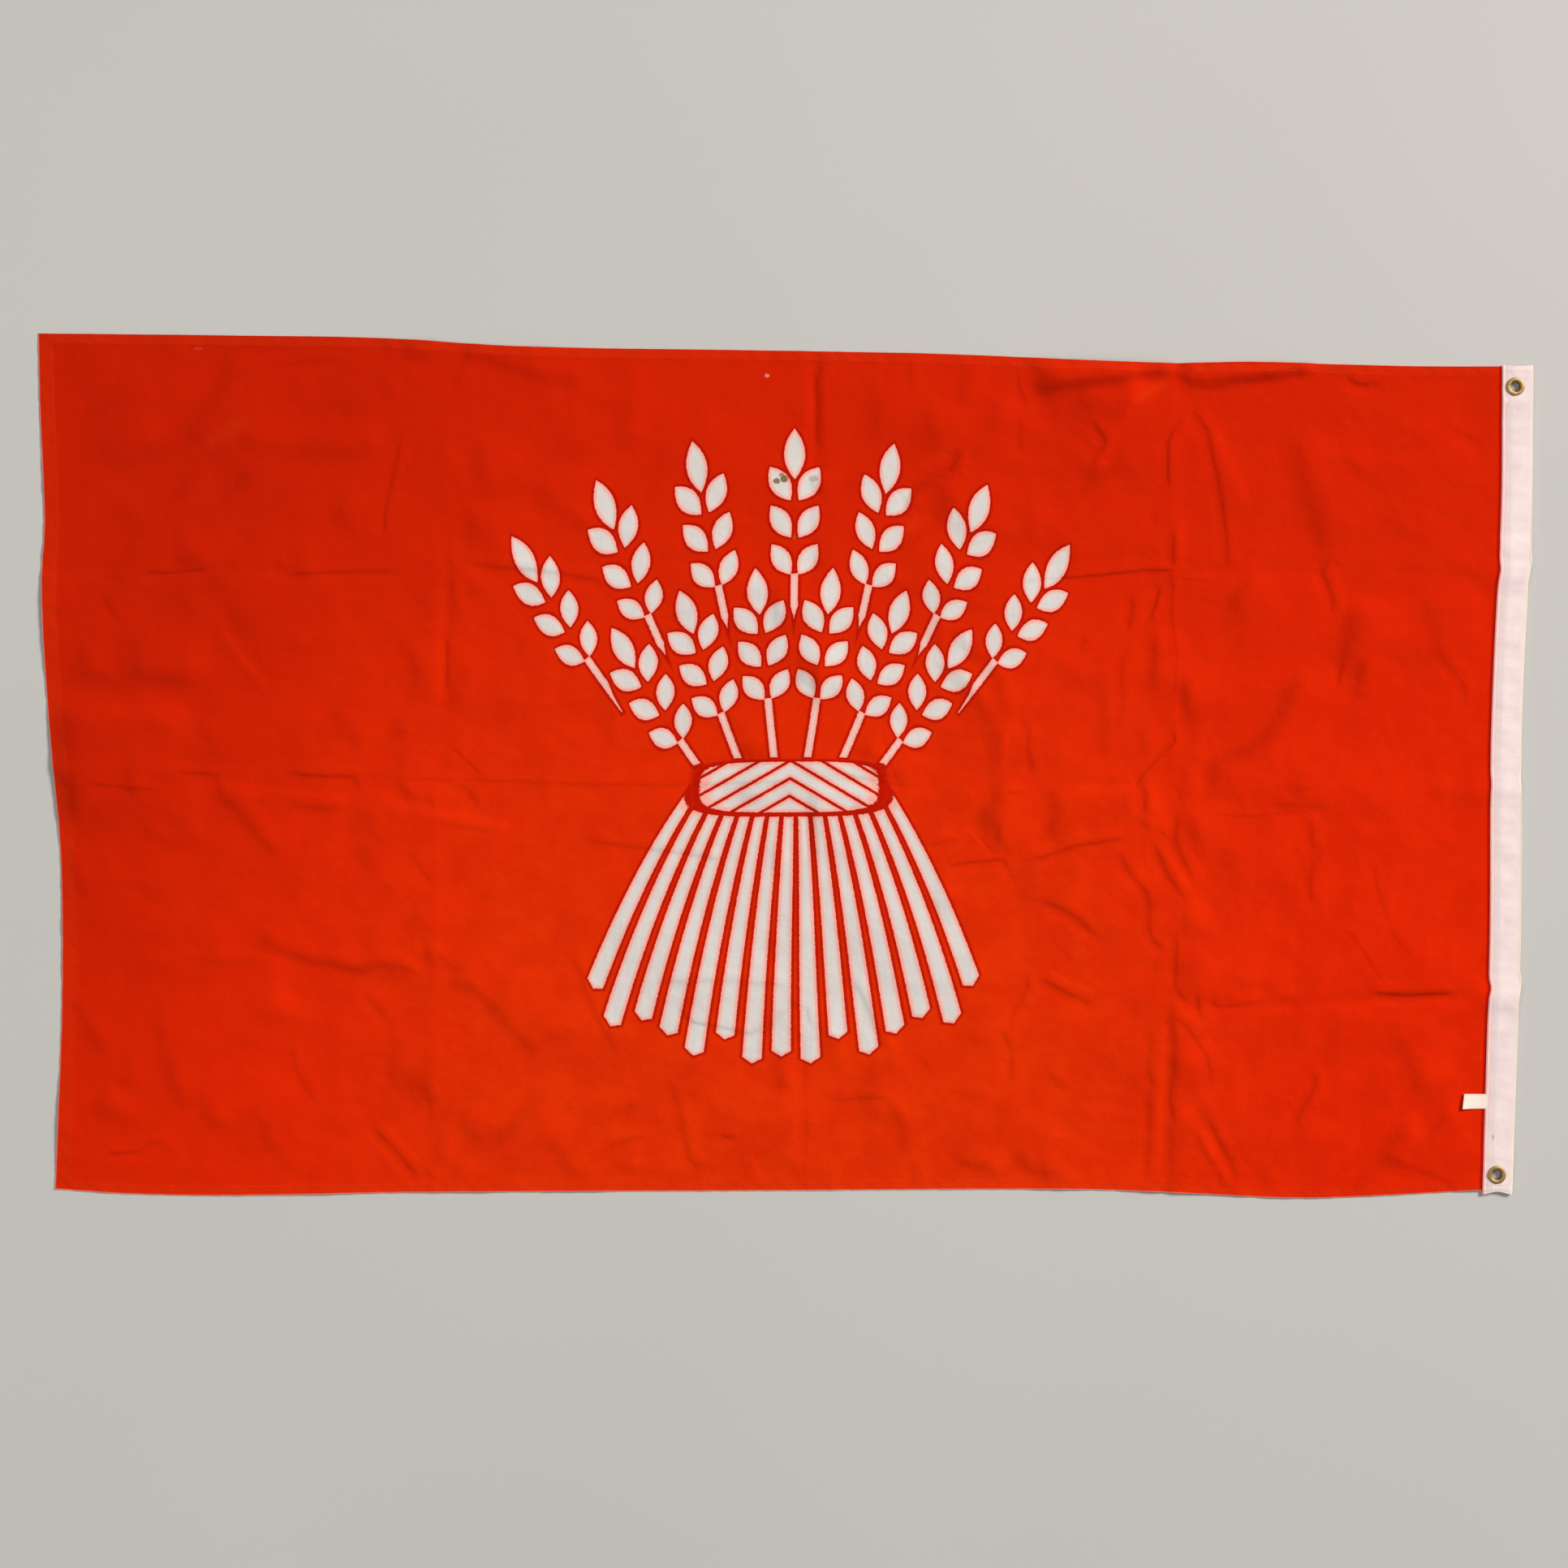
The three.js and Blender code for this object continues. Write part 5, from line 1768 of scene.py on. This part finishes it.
# %% Wheat sheaf
FIGURE_CENTRE = (-21, -4)
FAN_DROP = 63
EAR_SPACING = 60
EAR_SPACING_AT = 205
FAN_POWER = 0.75
GRAIN_PITCH = 36
GRAIN_HALF_WIDTH = 11
GRAIN_HALF_LENGTH = 21
GRAIN_TILT = np.radians(33)
GRAIN_ASIDE = 16
STEM_HALF = 3.6
STEM_PAST = 4
OUTLINE = 5.0
EAR_HALF = 30
EAR_ROOM = 26
EAR_PAIRS = 3
TIP_BEYOND = 10
STEEP_CUT = 20


def leaf_shape(across, along, half_width, half_length):
    """A pointed leaf: |across| less the half width times 1 - (along / half length)^2."""
    ratio = along / half_length
    return abs(across) - (1 - ratio * ratio) * half_width


def ear_row(radius, count, spacing, middle, start, stem_length):
    """One row of ears: stem, tilted pairs of grains and a last one at the tip, and its hull.

    The pairs are cut off at both ends of the ear by a distance that rises steeply, so that no
    grain of the next pair leaves a mark there.
    """
    side = abs(count - middle) * spacing
    along = radius - start
    cells = along / GRAIN_PITCH
    cell = cells.sum("FLOOR", cells)
    inside = (cells - cell - 0.5) * GRAIN_PITCH
    size = 0.84 + cell * 0.04
    dx = side - size * GRAIN_ASIDE
    turned = dx * np.cos(GRAIN_TILT) - inside * np.sin(GRAIN_TILT)
    drawn = dx * np.sin(GRAIN_TILT) + inside * np.cos(GRAIN_TILT)
    grain = leaf_shape(turned, drawn, size * GRAIN_HALF_WIDTH, size * GRAIN_HALF_LENGTH)
    end = EAR_PAIRS * GRAIN_PITCH
    grain = grain.most(along * -STEEP_CUT).most((along - end) * STEEP_CUT)
    past = along - end - TIP_BEYOND
    tip = leaf_shape(side, past, GRAIN_HALF_WIDTH * 0.95, GRAIN_HALF_LENGTH * 1.15)
    stem = (side - STEM_HALF).most(along - STEM_PAST).most(-stem_length - along)
    ratio = (along - end * 0.5) / (end * 0.5 + EAR_ROOM)
    hull = (side - (1 - ratio * ratio * ratio * ratio) * EAR_HALF).least(stem)
    return grain.least(tip).least(stem), hull


# %% [markdown]
# Below the tie the stalks spread like a skirt, with ends of uneven length, and the tie is a flat
# band of twisted straw: a rounded box with slanting red lines cut into it.

# %% Stalks, tie and the whole figure
FRONT_EARS = {"start": 156, "stem_length": 90}
BACK_EARS = {"start": 286, "stem_length": 62}
TIE_HALF = (90, 27)
TIE_GROOVE = 1.9
STRAW_PITCH = 19
STRAW_SLANT = 0.62
STALK_SPACING = 11.5
STALK_POWER = 0.55
STALK_LENGTH = 352
STALK_UNEVEN = 13
STALK_HALF = 0.33
STALKS_ASIDE = 7


def fan(across, up, power, spacing, spacing_at):
    """Polar places round a point: radius, count of sectors from the middle, and their spacing."""
    radius = (across * across + up * up) ** 0.5
    angle = across.sum("ARCTAN2", across, up)
    wide = radius**power * (spacing / spacing_at**power)
    return radius, angle * radius / wide, wide


def all_ears(mirrored, height):
    """Seven ears behind and six in front, which cut their outline out of those behind."""
    radius, count, wide = fan(mirrored, height + FAN_DROP, FAN_POWER, EAR_SPACING, EAR_SPACING_AT)
    whole = count.sum("FLOOR", count + 0.5).least(3)
    half = (count.sum("FLOOR", count) + 0.5).least(2.5)
    back, _ = ear_row(radius, count, wide, whole, **BACK_EARS)
    front, hull = ear_row(radius, count, wide, half, **FRONT_EARS)
    return front.least(back.most(OUTLINE - hull)).most(0 - height)


def all_stalks(mirrored, height):
    """The skirt of stalks, with ends of uneven length."""
    reach, stalks, gap = fan(mirrored, FAN_DROP - height, STALK_POWER, STALK_SPACING, FAN_DROP)
    stalk = stalks.sum("FLOOR", stalks + 0.5).least(STALKS_ASIDE)
    side = abs(stalks - stalk) * gap
    uneven = stalk.sum("SINE", stalk * 2.4) * STALK_UNEVEN + STALK_LENGTH
    return (side - gap * STALK_HALF).most(reach + side * 0.6 - uneven).most(height)


def tie_band(mirrored, height):
    """The tie: the rounded box (x / a)^4 + (y / b)^4 = 1, plain and with its slanting lines."""
    band = ((mirrored / TIE_HALF[0]) ** 4 + (abs(height) / TIE_HALF[1]) ** 4) ** 0.25
    band = (band - 1) * TIE_HALF[1]
    slant = (mirrored * STRAW_SLANT + height) / STRAW_PITCH
    straw = abs(slant - slant.sum("FLOOR", slant) - 0.5) * STRAW_PITCH
    return band, band.most(TIE_GROOVE - straw)


def figure_distance(across, up):
    """Distance in millimetres to the edge of the sheaf, negative inside it."""
    mirrored = abs(across - FIGURE_CENTRE[0])
    height = up - FIGURE_CENTRE[1]
    straw = all_ears(mirrored, height).least(all_stalks(mirrored, height))
    band, tie = tie_band(mirrored, height)
    return straw.most(OUTLINE - band).least(tie)


# %% [markdown]
# ## Red cloth
#
# The red is printed too, a bright scarlet, with painted shade that makes it darker towards the top
# and left, and low in the middle it is a little brighter and more orange. The hems are paler in
# patches, with a thin pale line along the fly and bottom edges, and a shadow of the heading is
# painted on the red beside its seam. A picture could hold all this, but sums of soft steps on the
# cloth's own places stay sharp and say what they do.

# %% Red dye
RED = linear(228, 38, 2)
RED_DARK_SHADE_AND_MOTTLE = linear(208, 32, 2)
RED_SHADED_LEFT = linear(190, 28, 2)
RED_ORANGE_MIDDLE = linear(232, 52, 4)
RED_HEM = linear(236, 62, 16)
PALE_PINK = linear(240, 176, 160)
# Dark red of the doubled ink round the figure, and of the painted shadow beside the heading.
DEEP_RED_INK_AND_SHADOW = linear(176, 8, 1)


def red_dye(finish, flat, seen_x, seen_y, fine):
    """The red ground, mottled, darker towards the top and left by painted shade, and brighter and
    more orange low in the middle.
    """
    # Painted shade: darker towards the top, then towards the left.
    red = finish.mix(seen_y.step(-150, 420) * 0.9, RED, RED_DARK_SHADE_AND_MOTTLE)
    red = finish.mix((seen_x - seen_y * 0.5).step(-320, -760) * 0.7, red, RED_SHADED_LEFT)
    # Low in the middle the red is a little brighter and more orange.
    centre = abs(seen_x).step(600, 200) * seen_y.step(330, -330)
    red = finish.mix(centre * 0.8, red, RED_ORANGE_MIDDLE)
    blotch = finish.noise(flat, 22, 3.0)
    return finish.mix((blotch * 0.7 + fine * 0.3).step(0.35, 0.65) * 0.4, red, RED_DARK_SHADE_AND_MOTTLE)


def hem_dye(finish, red, flat, across, up, fine):
    """The red of the hems, and a shadow of the heading painted on the strip beside its seam."""
    cloudy = finish.noise(flat, 6, 3.0)
    inside = (across + 2 * FLAT_PANEL[0]).least((2 * FLAT_PANEL[1] - abs(up)) * 1.5)
    red = finish.mix(inside.step(14.5, 12.5) * (cloudy * 0.26), red, RED_HEM)
    # Painted shadow of the heading: a dark red band along the seam.
    red = finish.mix((2 * FLAT_PANEL[0] - across).step(5.0, 2.0) * 0.85, red, DEEP_RED_INK_AND_SHADOW)
    rim = (across + 2 * FLAT_PANEL[0]).least(up + 2 * FLAT_PANEL[1])
    return finish.mix((rim + fine * 0.8).step(1.6, 0.6) * 0.4, red, PALE_PINK)


# %% [markdown]
# At the white figure's edge the two inks run into each other: a pink fringe inside, and outside a
# thin line where the red is doubled. The white has faint grey streaks.

# %% White print
PRINT_WHITE = linear(223, 214, 207)
PRINT_PINK = linear(252, 172, 156)
PRINT_GREY = linear(188, 178, 172)


def printed(finish, red, flat, across, up):
    """The red with the white figure on it."""
    waver = (finish.noise(flat, 320, 2.0) - 0.5) * 1.6
    distance = figure_distance(across, up) + waver
    red = finish.mix(distance.step(4.4, 1.6) * 0.75, red, DEEP_RED_INK_AND_SHADOW)
    white = finish.mix(distance.step(-5.0, -1.0), PRINT_WHITE, PRINT_PINK)
    streaks = finish.noise(finish.stretched(flat, (260, 9, 1)), 1.0, 2.0)
    white = finish.mix(streaks.step(0.5, 0.8) * 0.22, white, PRINT_GREY)
    return finish.mix(distance.step(0.45, -0.45), red, white)


# %% [markdown]
# A few small stains lie near the middle. Near the top edge lie a pale rubbed mark and a faint
# highlight painted on a small crease. Each is its middle, its half sizes and its strength, in
# millimetres.

# %% Stains and marks
STAIN = linear(118, 90, 40)
# Colours of the shade and the highlight painted along the creases.
PAINTED_CREASE_SHADE = linear(64, 3, 1)
PAINTED_CREASE_HIGHLIGHT = linear(255, 90, 24)
STAINS = [
    [-1, 297, 4.6, 4.0, 0.9],
    [-9, 294.5, 4.0, 3.2, 0.85],
    [-4, 301, 2.6, 2.2, 0.7],
    [29, 297, 5.5, 3.4, 0.35],
    [9.6, 236.5, 2.2, 2.0, 0.7],
    [-240, 120, 2.0, 1.6, 0.5],
    [310, -190, 1.8, 1.8, 0.45],
]
# The second row is a faint highlight painted on a small crease.
PALE_MARK_AND_HIGHLIGHT = [[-18.9, 403.6, 2.6, 2.2, 0.5], [-607.5, 431.5, 5.0, 1.6, 0.05]]


def spots(across, up, places, rough):
    """Uneven spots: 1 at each centre and 0 past its half sizes, the largest of them winning."""
    found = None
    for x, y, half_x, half_y, strength in places:
        dx = (across - x) / half_x
        dy = (up - y) / half_y
        spot = (dx * dx + dy * dy + rough).step(1.25, 0.45) * strength
        found = spot if found is None else found.most(spot)
    return found


def worn(finish, colour, place, seen_x, seen_y):
    """The print with its stains and a pale mark, and shade and highlight painted along creases."""
    rough = (finish.noise(place, 400, 2.0) - 0.5) * 1.3
    colour = finish.mix(spots(seen_x, seen_y, STAINS, rough), colour, STAIN)
    # A pale mark, and a faint painted highlight on a small crease.
    colour = finish.mix(spots(seen_x, seen_y, PALE_MARK_AND_HIGHLIGHT, rough), colour, PALE_PINK)
    # Painted shade and painted highlight along the creases.
    painted_crease_shading = finish.mark("painted_crease_shading")
    colour = finish.mix(painted_crease_shading.most(0), colour, PAINTED_CREASE_SHADE)
    return finish.mix((0 - painted_crease_shading).most(0), colour, PAINTED_CREASE_HIGHLIGHT)


# %% [markdown]
# The relief of the finish is what the net can't hold: wrinkles of a centimetre or two, the narrow
# creases and the weave. Across a narrow crease the height goes as tanh(t) * exp(-0.26 * |t|).

# %% Finish of the cloth
MARK_DECAY = -0.26
THREADS = 9.6
RELIEF_STEP = 0.001
WEAVE_STEP = 0.00003


def cloth_relief(finish, flat, across, up):
    """The normal of the cloth: wrinkles and narrow creases, and the weave on top of them."""
    wrinkles = finish.noise(finish.stretched(flat, (36, 42, 1)), 1.0, 4.0)
    relief = wrinkles * 1.5
    for number in range(MARK_SETS):
        steps = finish.mark(f"steps_{number}")
        fall = steps.sum("TANH", steps) * steps.sum("EXPONENT", abs(steps) * MARK_DECAY)
        relief = relief - fall * finish.mark(f"height_{number}") * 0.5
    weave = across.sum("SINE", across * THREADS) * up.sum("SINE", up * THREADS)
    return finish.bump(weave, WEAVE_STEP, finish.bump(relief, RELIEF_STEP))


def cloth_finish():
    """Printed cloth: red with the white figure, stains, weave and small wrinkles."""
    finish = Finish("red_printed_cloth", {"Specular IOR Level": 0.02})
    flat = finish.node("ShaderNodeUVMap", {"uv_map": "flat"}, {})
    place = finish.node("ShaderNodeTexCoord", {}, {}, output="Object")
    across, up = finish.parts(flat)
    seen_x, seen_y = finish.parts(place)
    fine = finish.noise(flat, 60, 3.0)
    red = red_dye(finish, flat, seen_x, seen_y, fine)
    red = hem_dye(finish, red, flat, across, up, fine)
    colour = printed(finish, red, flat, across, up)
    finish.put("Base Color", worn(finish, colour, place, seen_x, seen_y))
    finish.put("Roughness", 0.72 + fine * 0.16)
    finish.put("Normal", cloth_relief(finish, flat, across, up))
    return finish.material


dress(red_cloth, cloth_finish())

# %% [markdown]
# ## Canvas, ribbon, thread and brass
#
# The canvas is a heavier plain weave. The red has bled into it along the seam, it is greyest just
# beside the stitching, and its outer fold is warmer in tone. Shade is painted in a narrow line
# along the fold, and towards the top end the canvas is greyer by painted shade.

# %% Finish of the canvas
CANVAS = linear(252, 228, 223)
CANVAS_PINK = linear(255, 205, 197)
CANVAS_BLED = linear(250, 158, 148)
CANVAS_GREY = linear(237, 213, 211)
CANVAS_WARM = linear(246, 228, 208)
CANVAS_FOLD_SHADE = linear(216, 194, 180)
CANVAS_MARKED = linear(128, 118, 116)
GREY_MARK = [9.4, -384.3, 1.2, 3.2, 0.5]
GREY_LINE = 8.5
OUTER_FOLD = 32
CANVAS_THREADS = 7.4


def canvas_finish():
    """White canvas: a weave of thick threads, pink beside the seam and warm at the fold."""
    finish = Finish("white_canvas", {"Specular IOR Level": 0.08})
    flat = finish.node("ShaderNodeUVMap", {"uv_map": "flat"}, {})
    across, up = finish.parts(flat)
    blots = finish.noise(flat, 45, 3.0)
    colour = finish.mix(blots.step(0.35, 0.7) * 0.5, CANVAS, CANVAS_GREY)
    colour = finish.mix(abs(across - GREY_LINE).step(3.6, 0.6) * 0.6, colour, CANVAS_GREY)
    colour = finish.mix((across + (blots - 0.5) * 5).step(6.5, 2.0) * 0.85, colour, CANVAS_PINK)
    bled = (across + (blots - 0.5) * 3).step(3.0, 0.8)
    colour = finish.mix(bled * 0.6, colour, CANVAS_BLED)
    colour = finish.mix(abs(across - OUTER_FOLD).step(6.0, 1.5) * 0.7, colour, CANVAS_WARM)
    # Painted shade in a narrow line along the outer fold.
    colour = finish.mix(abs(across - OUTER_FOLD).step(2.2, 0.6) * 0.6, colour, CANVAS_FOLD_SHADE)
    # Painted shade: greyer towards the top end.
    colour = finish.mix(up.step(250, 430) * 0.5, colour, CANVAS_GREY)
    rough = (finish.noise(flat, 700, 2.0) - 0.5) * 1.2
    colour = finish.mix(spots(across, up, [GREY_MARK], rough), colour, CANVAS_MARKED)
    threads = across.sum("SINE", across * CANVAS_THREADS) * up.sum("SINE", up * CANVAS_THREADS)
    slub = finish.noise(finish.stretched(flat, (120, 900, 1)), 1.0, 2.0)
    finish.put("Base Color", finish.mix(slub.step(0.45, 0.8) * 0.08, colour, CANVAS_GREY))
    finish.put("Roughness", 0.78 + slub * 0.14)
    soft = finish.bump(finish.noise(flat, 90, 3.0), 0.0005)
    finish.put("Normal", finish.bump(threads + slub * 0.4, 0.00006, soft))
    return finish.material


dress(canvas_heading, canvas_finish())

# %% [markdown]
# The ribbon is smoother and shines a little. The sewing thread is red in the hems and white in
# the heading.

# %% Finish of the ribbon and the threads
RIBBON_CREAM = linear(255, 233, 216)
RIBBON_SHADE = linear(240, 208, 188)
RED_THREAD = (linear(214, 36, 10), linear(168, 16, 6))
WHITE_THREAD = (linear(250, 238, 232), linear(226, 206, 202))
TWIST = 900.0


def ribbon_finish():
    """Smooth woven ribbon with fine ribs across it and slightly darker edges."""
    finish = Finish("cream_ribbon", {"Specular IOR Level": 0.4, "Sheen Weight": 0.1})
    flat = finish.node("ShaderNodeUVMap", {"uv_map": "flat"}, {})
    across, up = finish.parts(flat)
    ribbon_noise = finish.noise(flat, 160, 3.0)
    # Darker towards both edges.
    edge = (abs(up - (TAB_LOW + TAB_HIGH) / 2) + ribbon_noise * 2).step(6.0, 8.5)
    finish.put("Base Color", finish.mix(edge * 0.6, RIBBON_CREAM, RIBBON_SHADE))
    finish.put("Roughness", 0.42 + ribbon_noise * 0.2)
    ribs = across.sum("SINE", across * 14)
    finish.put("Normal", finish.bump(ribs, 0.00003))
    return finish.material


def thread_finish(name, bright, dark):
    """Spun thread: uneven in colour, with the strands that wind round it as fine ridges."""
    finish = Finish(name, {"Specular IOR Level": 0.25, "Sheen Weight": 0.1})
    place = finish.node("ShaderNodeTexCoord", {}, {}, output="Object")
    shade = finish.noise(place, 900, 1.0)
    finish.put("Base Color", finish.mix(shade.step(0.3, 0.7), bright, dark))
    finish.put("Roughness", 0.62 + shade * 0.2)
    values = {"Vector": place, "Scale": TWIST, "Distortion": 1.0}
    strands = finish.node("ShaderNodeTexWave", {}, values, output="Fac")
    finish.put("Normal", finish.bump(strands, 0.00004))
    return finish.material


dress(ribbon_tab, ribbon_finish())
dress(hem_stitches, thread_finish("red_thread", *RED_THREAD))
dress(seam_stitches, thread_finish("white_thread", *WHITE_THREAD))

# %% [markdown]
# The brass is dull: golden where it has been rubbed, olive brown in the hollow of the mouth and
# along the canvas. Height above the ground tells these places apart.

# %% Finish of the brass
BRASS = linear(184, 150, 96)
BRASS_DULL = linear(120, 90, 50)


def brass_finish():
    """Aged brass: brown in its hollows, golden on the crown, with fine scratches."""
    finish = Finish("aged_brass", {})
    place = finish.node("ShaderNodeTexCoord", {}, {}, output="Object")
    height = finish.node("ShaderNodeSeparateXYZ", {}, {"Vector": place}, output=2) * 1000
    patina = finish.noise(place, 420, 4.0)
    hollow = (height + (patina - 0.5) * 2.2).step(5.0, 3.8)
    finish.put("Base Color", finish.mix(hollow, BRASS, BRASS_DULL))
    finish.put("Metallic", 0.95 - hollow * 0.35)
    finish.put("Roughness", 0.42 + patina * 0.26 + hollow * 0.16)
    scratches = finish.noise(finish.stretched(place, (2600, 500, 800)), 1.0, 2.0)
    finish.put("Normal", finish.bump(scratches * 0.4 + patina, 0.00012))
    return finish.material


aged_brass = brass_finish()
dress(brass_upper, aged_brass)
dress(brass_lower, aged_brass)

# %% [markdown]
# The floor stays plain, so that nothing draws the eye from the flag.

# %% Finish of the floor
FLOOR_SHADES = (linear(196, 192, 186), linear(204, 200, 194))


def floor_finish():
    """A plain pale floor, a shade uneven."""
    finish = Finish("pale_floor", {"Specular IOR Level": 0.2})
    place = finish.node("ShaderNodeTexCoord", {}, {}, output="Object")
    shade = finish.noise(place, 1.2, 2.0)
    finish.put("Base Color", finish.mix(shade, *FLOOR_SHADES))
    finish.put("Roughness", 0.85 + shade * 0.1)
    return finish.material


dress(floor, floor_finish())

# %% [markdown]
# ## The pieces on the flag's body
#
# Every piece rides on the one body of the flag, and the solid that it stands for is hidden.
# The cloth, the heading and the tab are sheets. Each row also names a slot of its finish, which
# the loop doesn't use.

# %% Bodies and solids
PIECES = [
    (red_cloth, "field", "cloth_red"),
    (canvas_heading, "heading", "canvas_white"),
    (ribbon_tab, "label", "ribbon_white"),
    (brass_upper, "eyelet_upper", "eyelet_brass"),
    (brass_lower, "eyelet_lower", "eyelet_brass"),
    (hem_stitches, None, "cloth_red"),
    (seam_stitches, None, "canvas_white"),
]
for piece, node, slot in PIECES:
    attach(piece, "root")
    if node:
        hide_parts(node)
print("pieces:", [piece.name for piece, _, _ in PIECES])
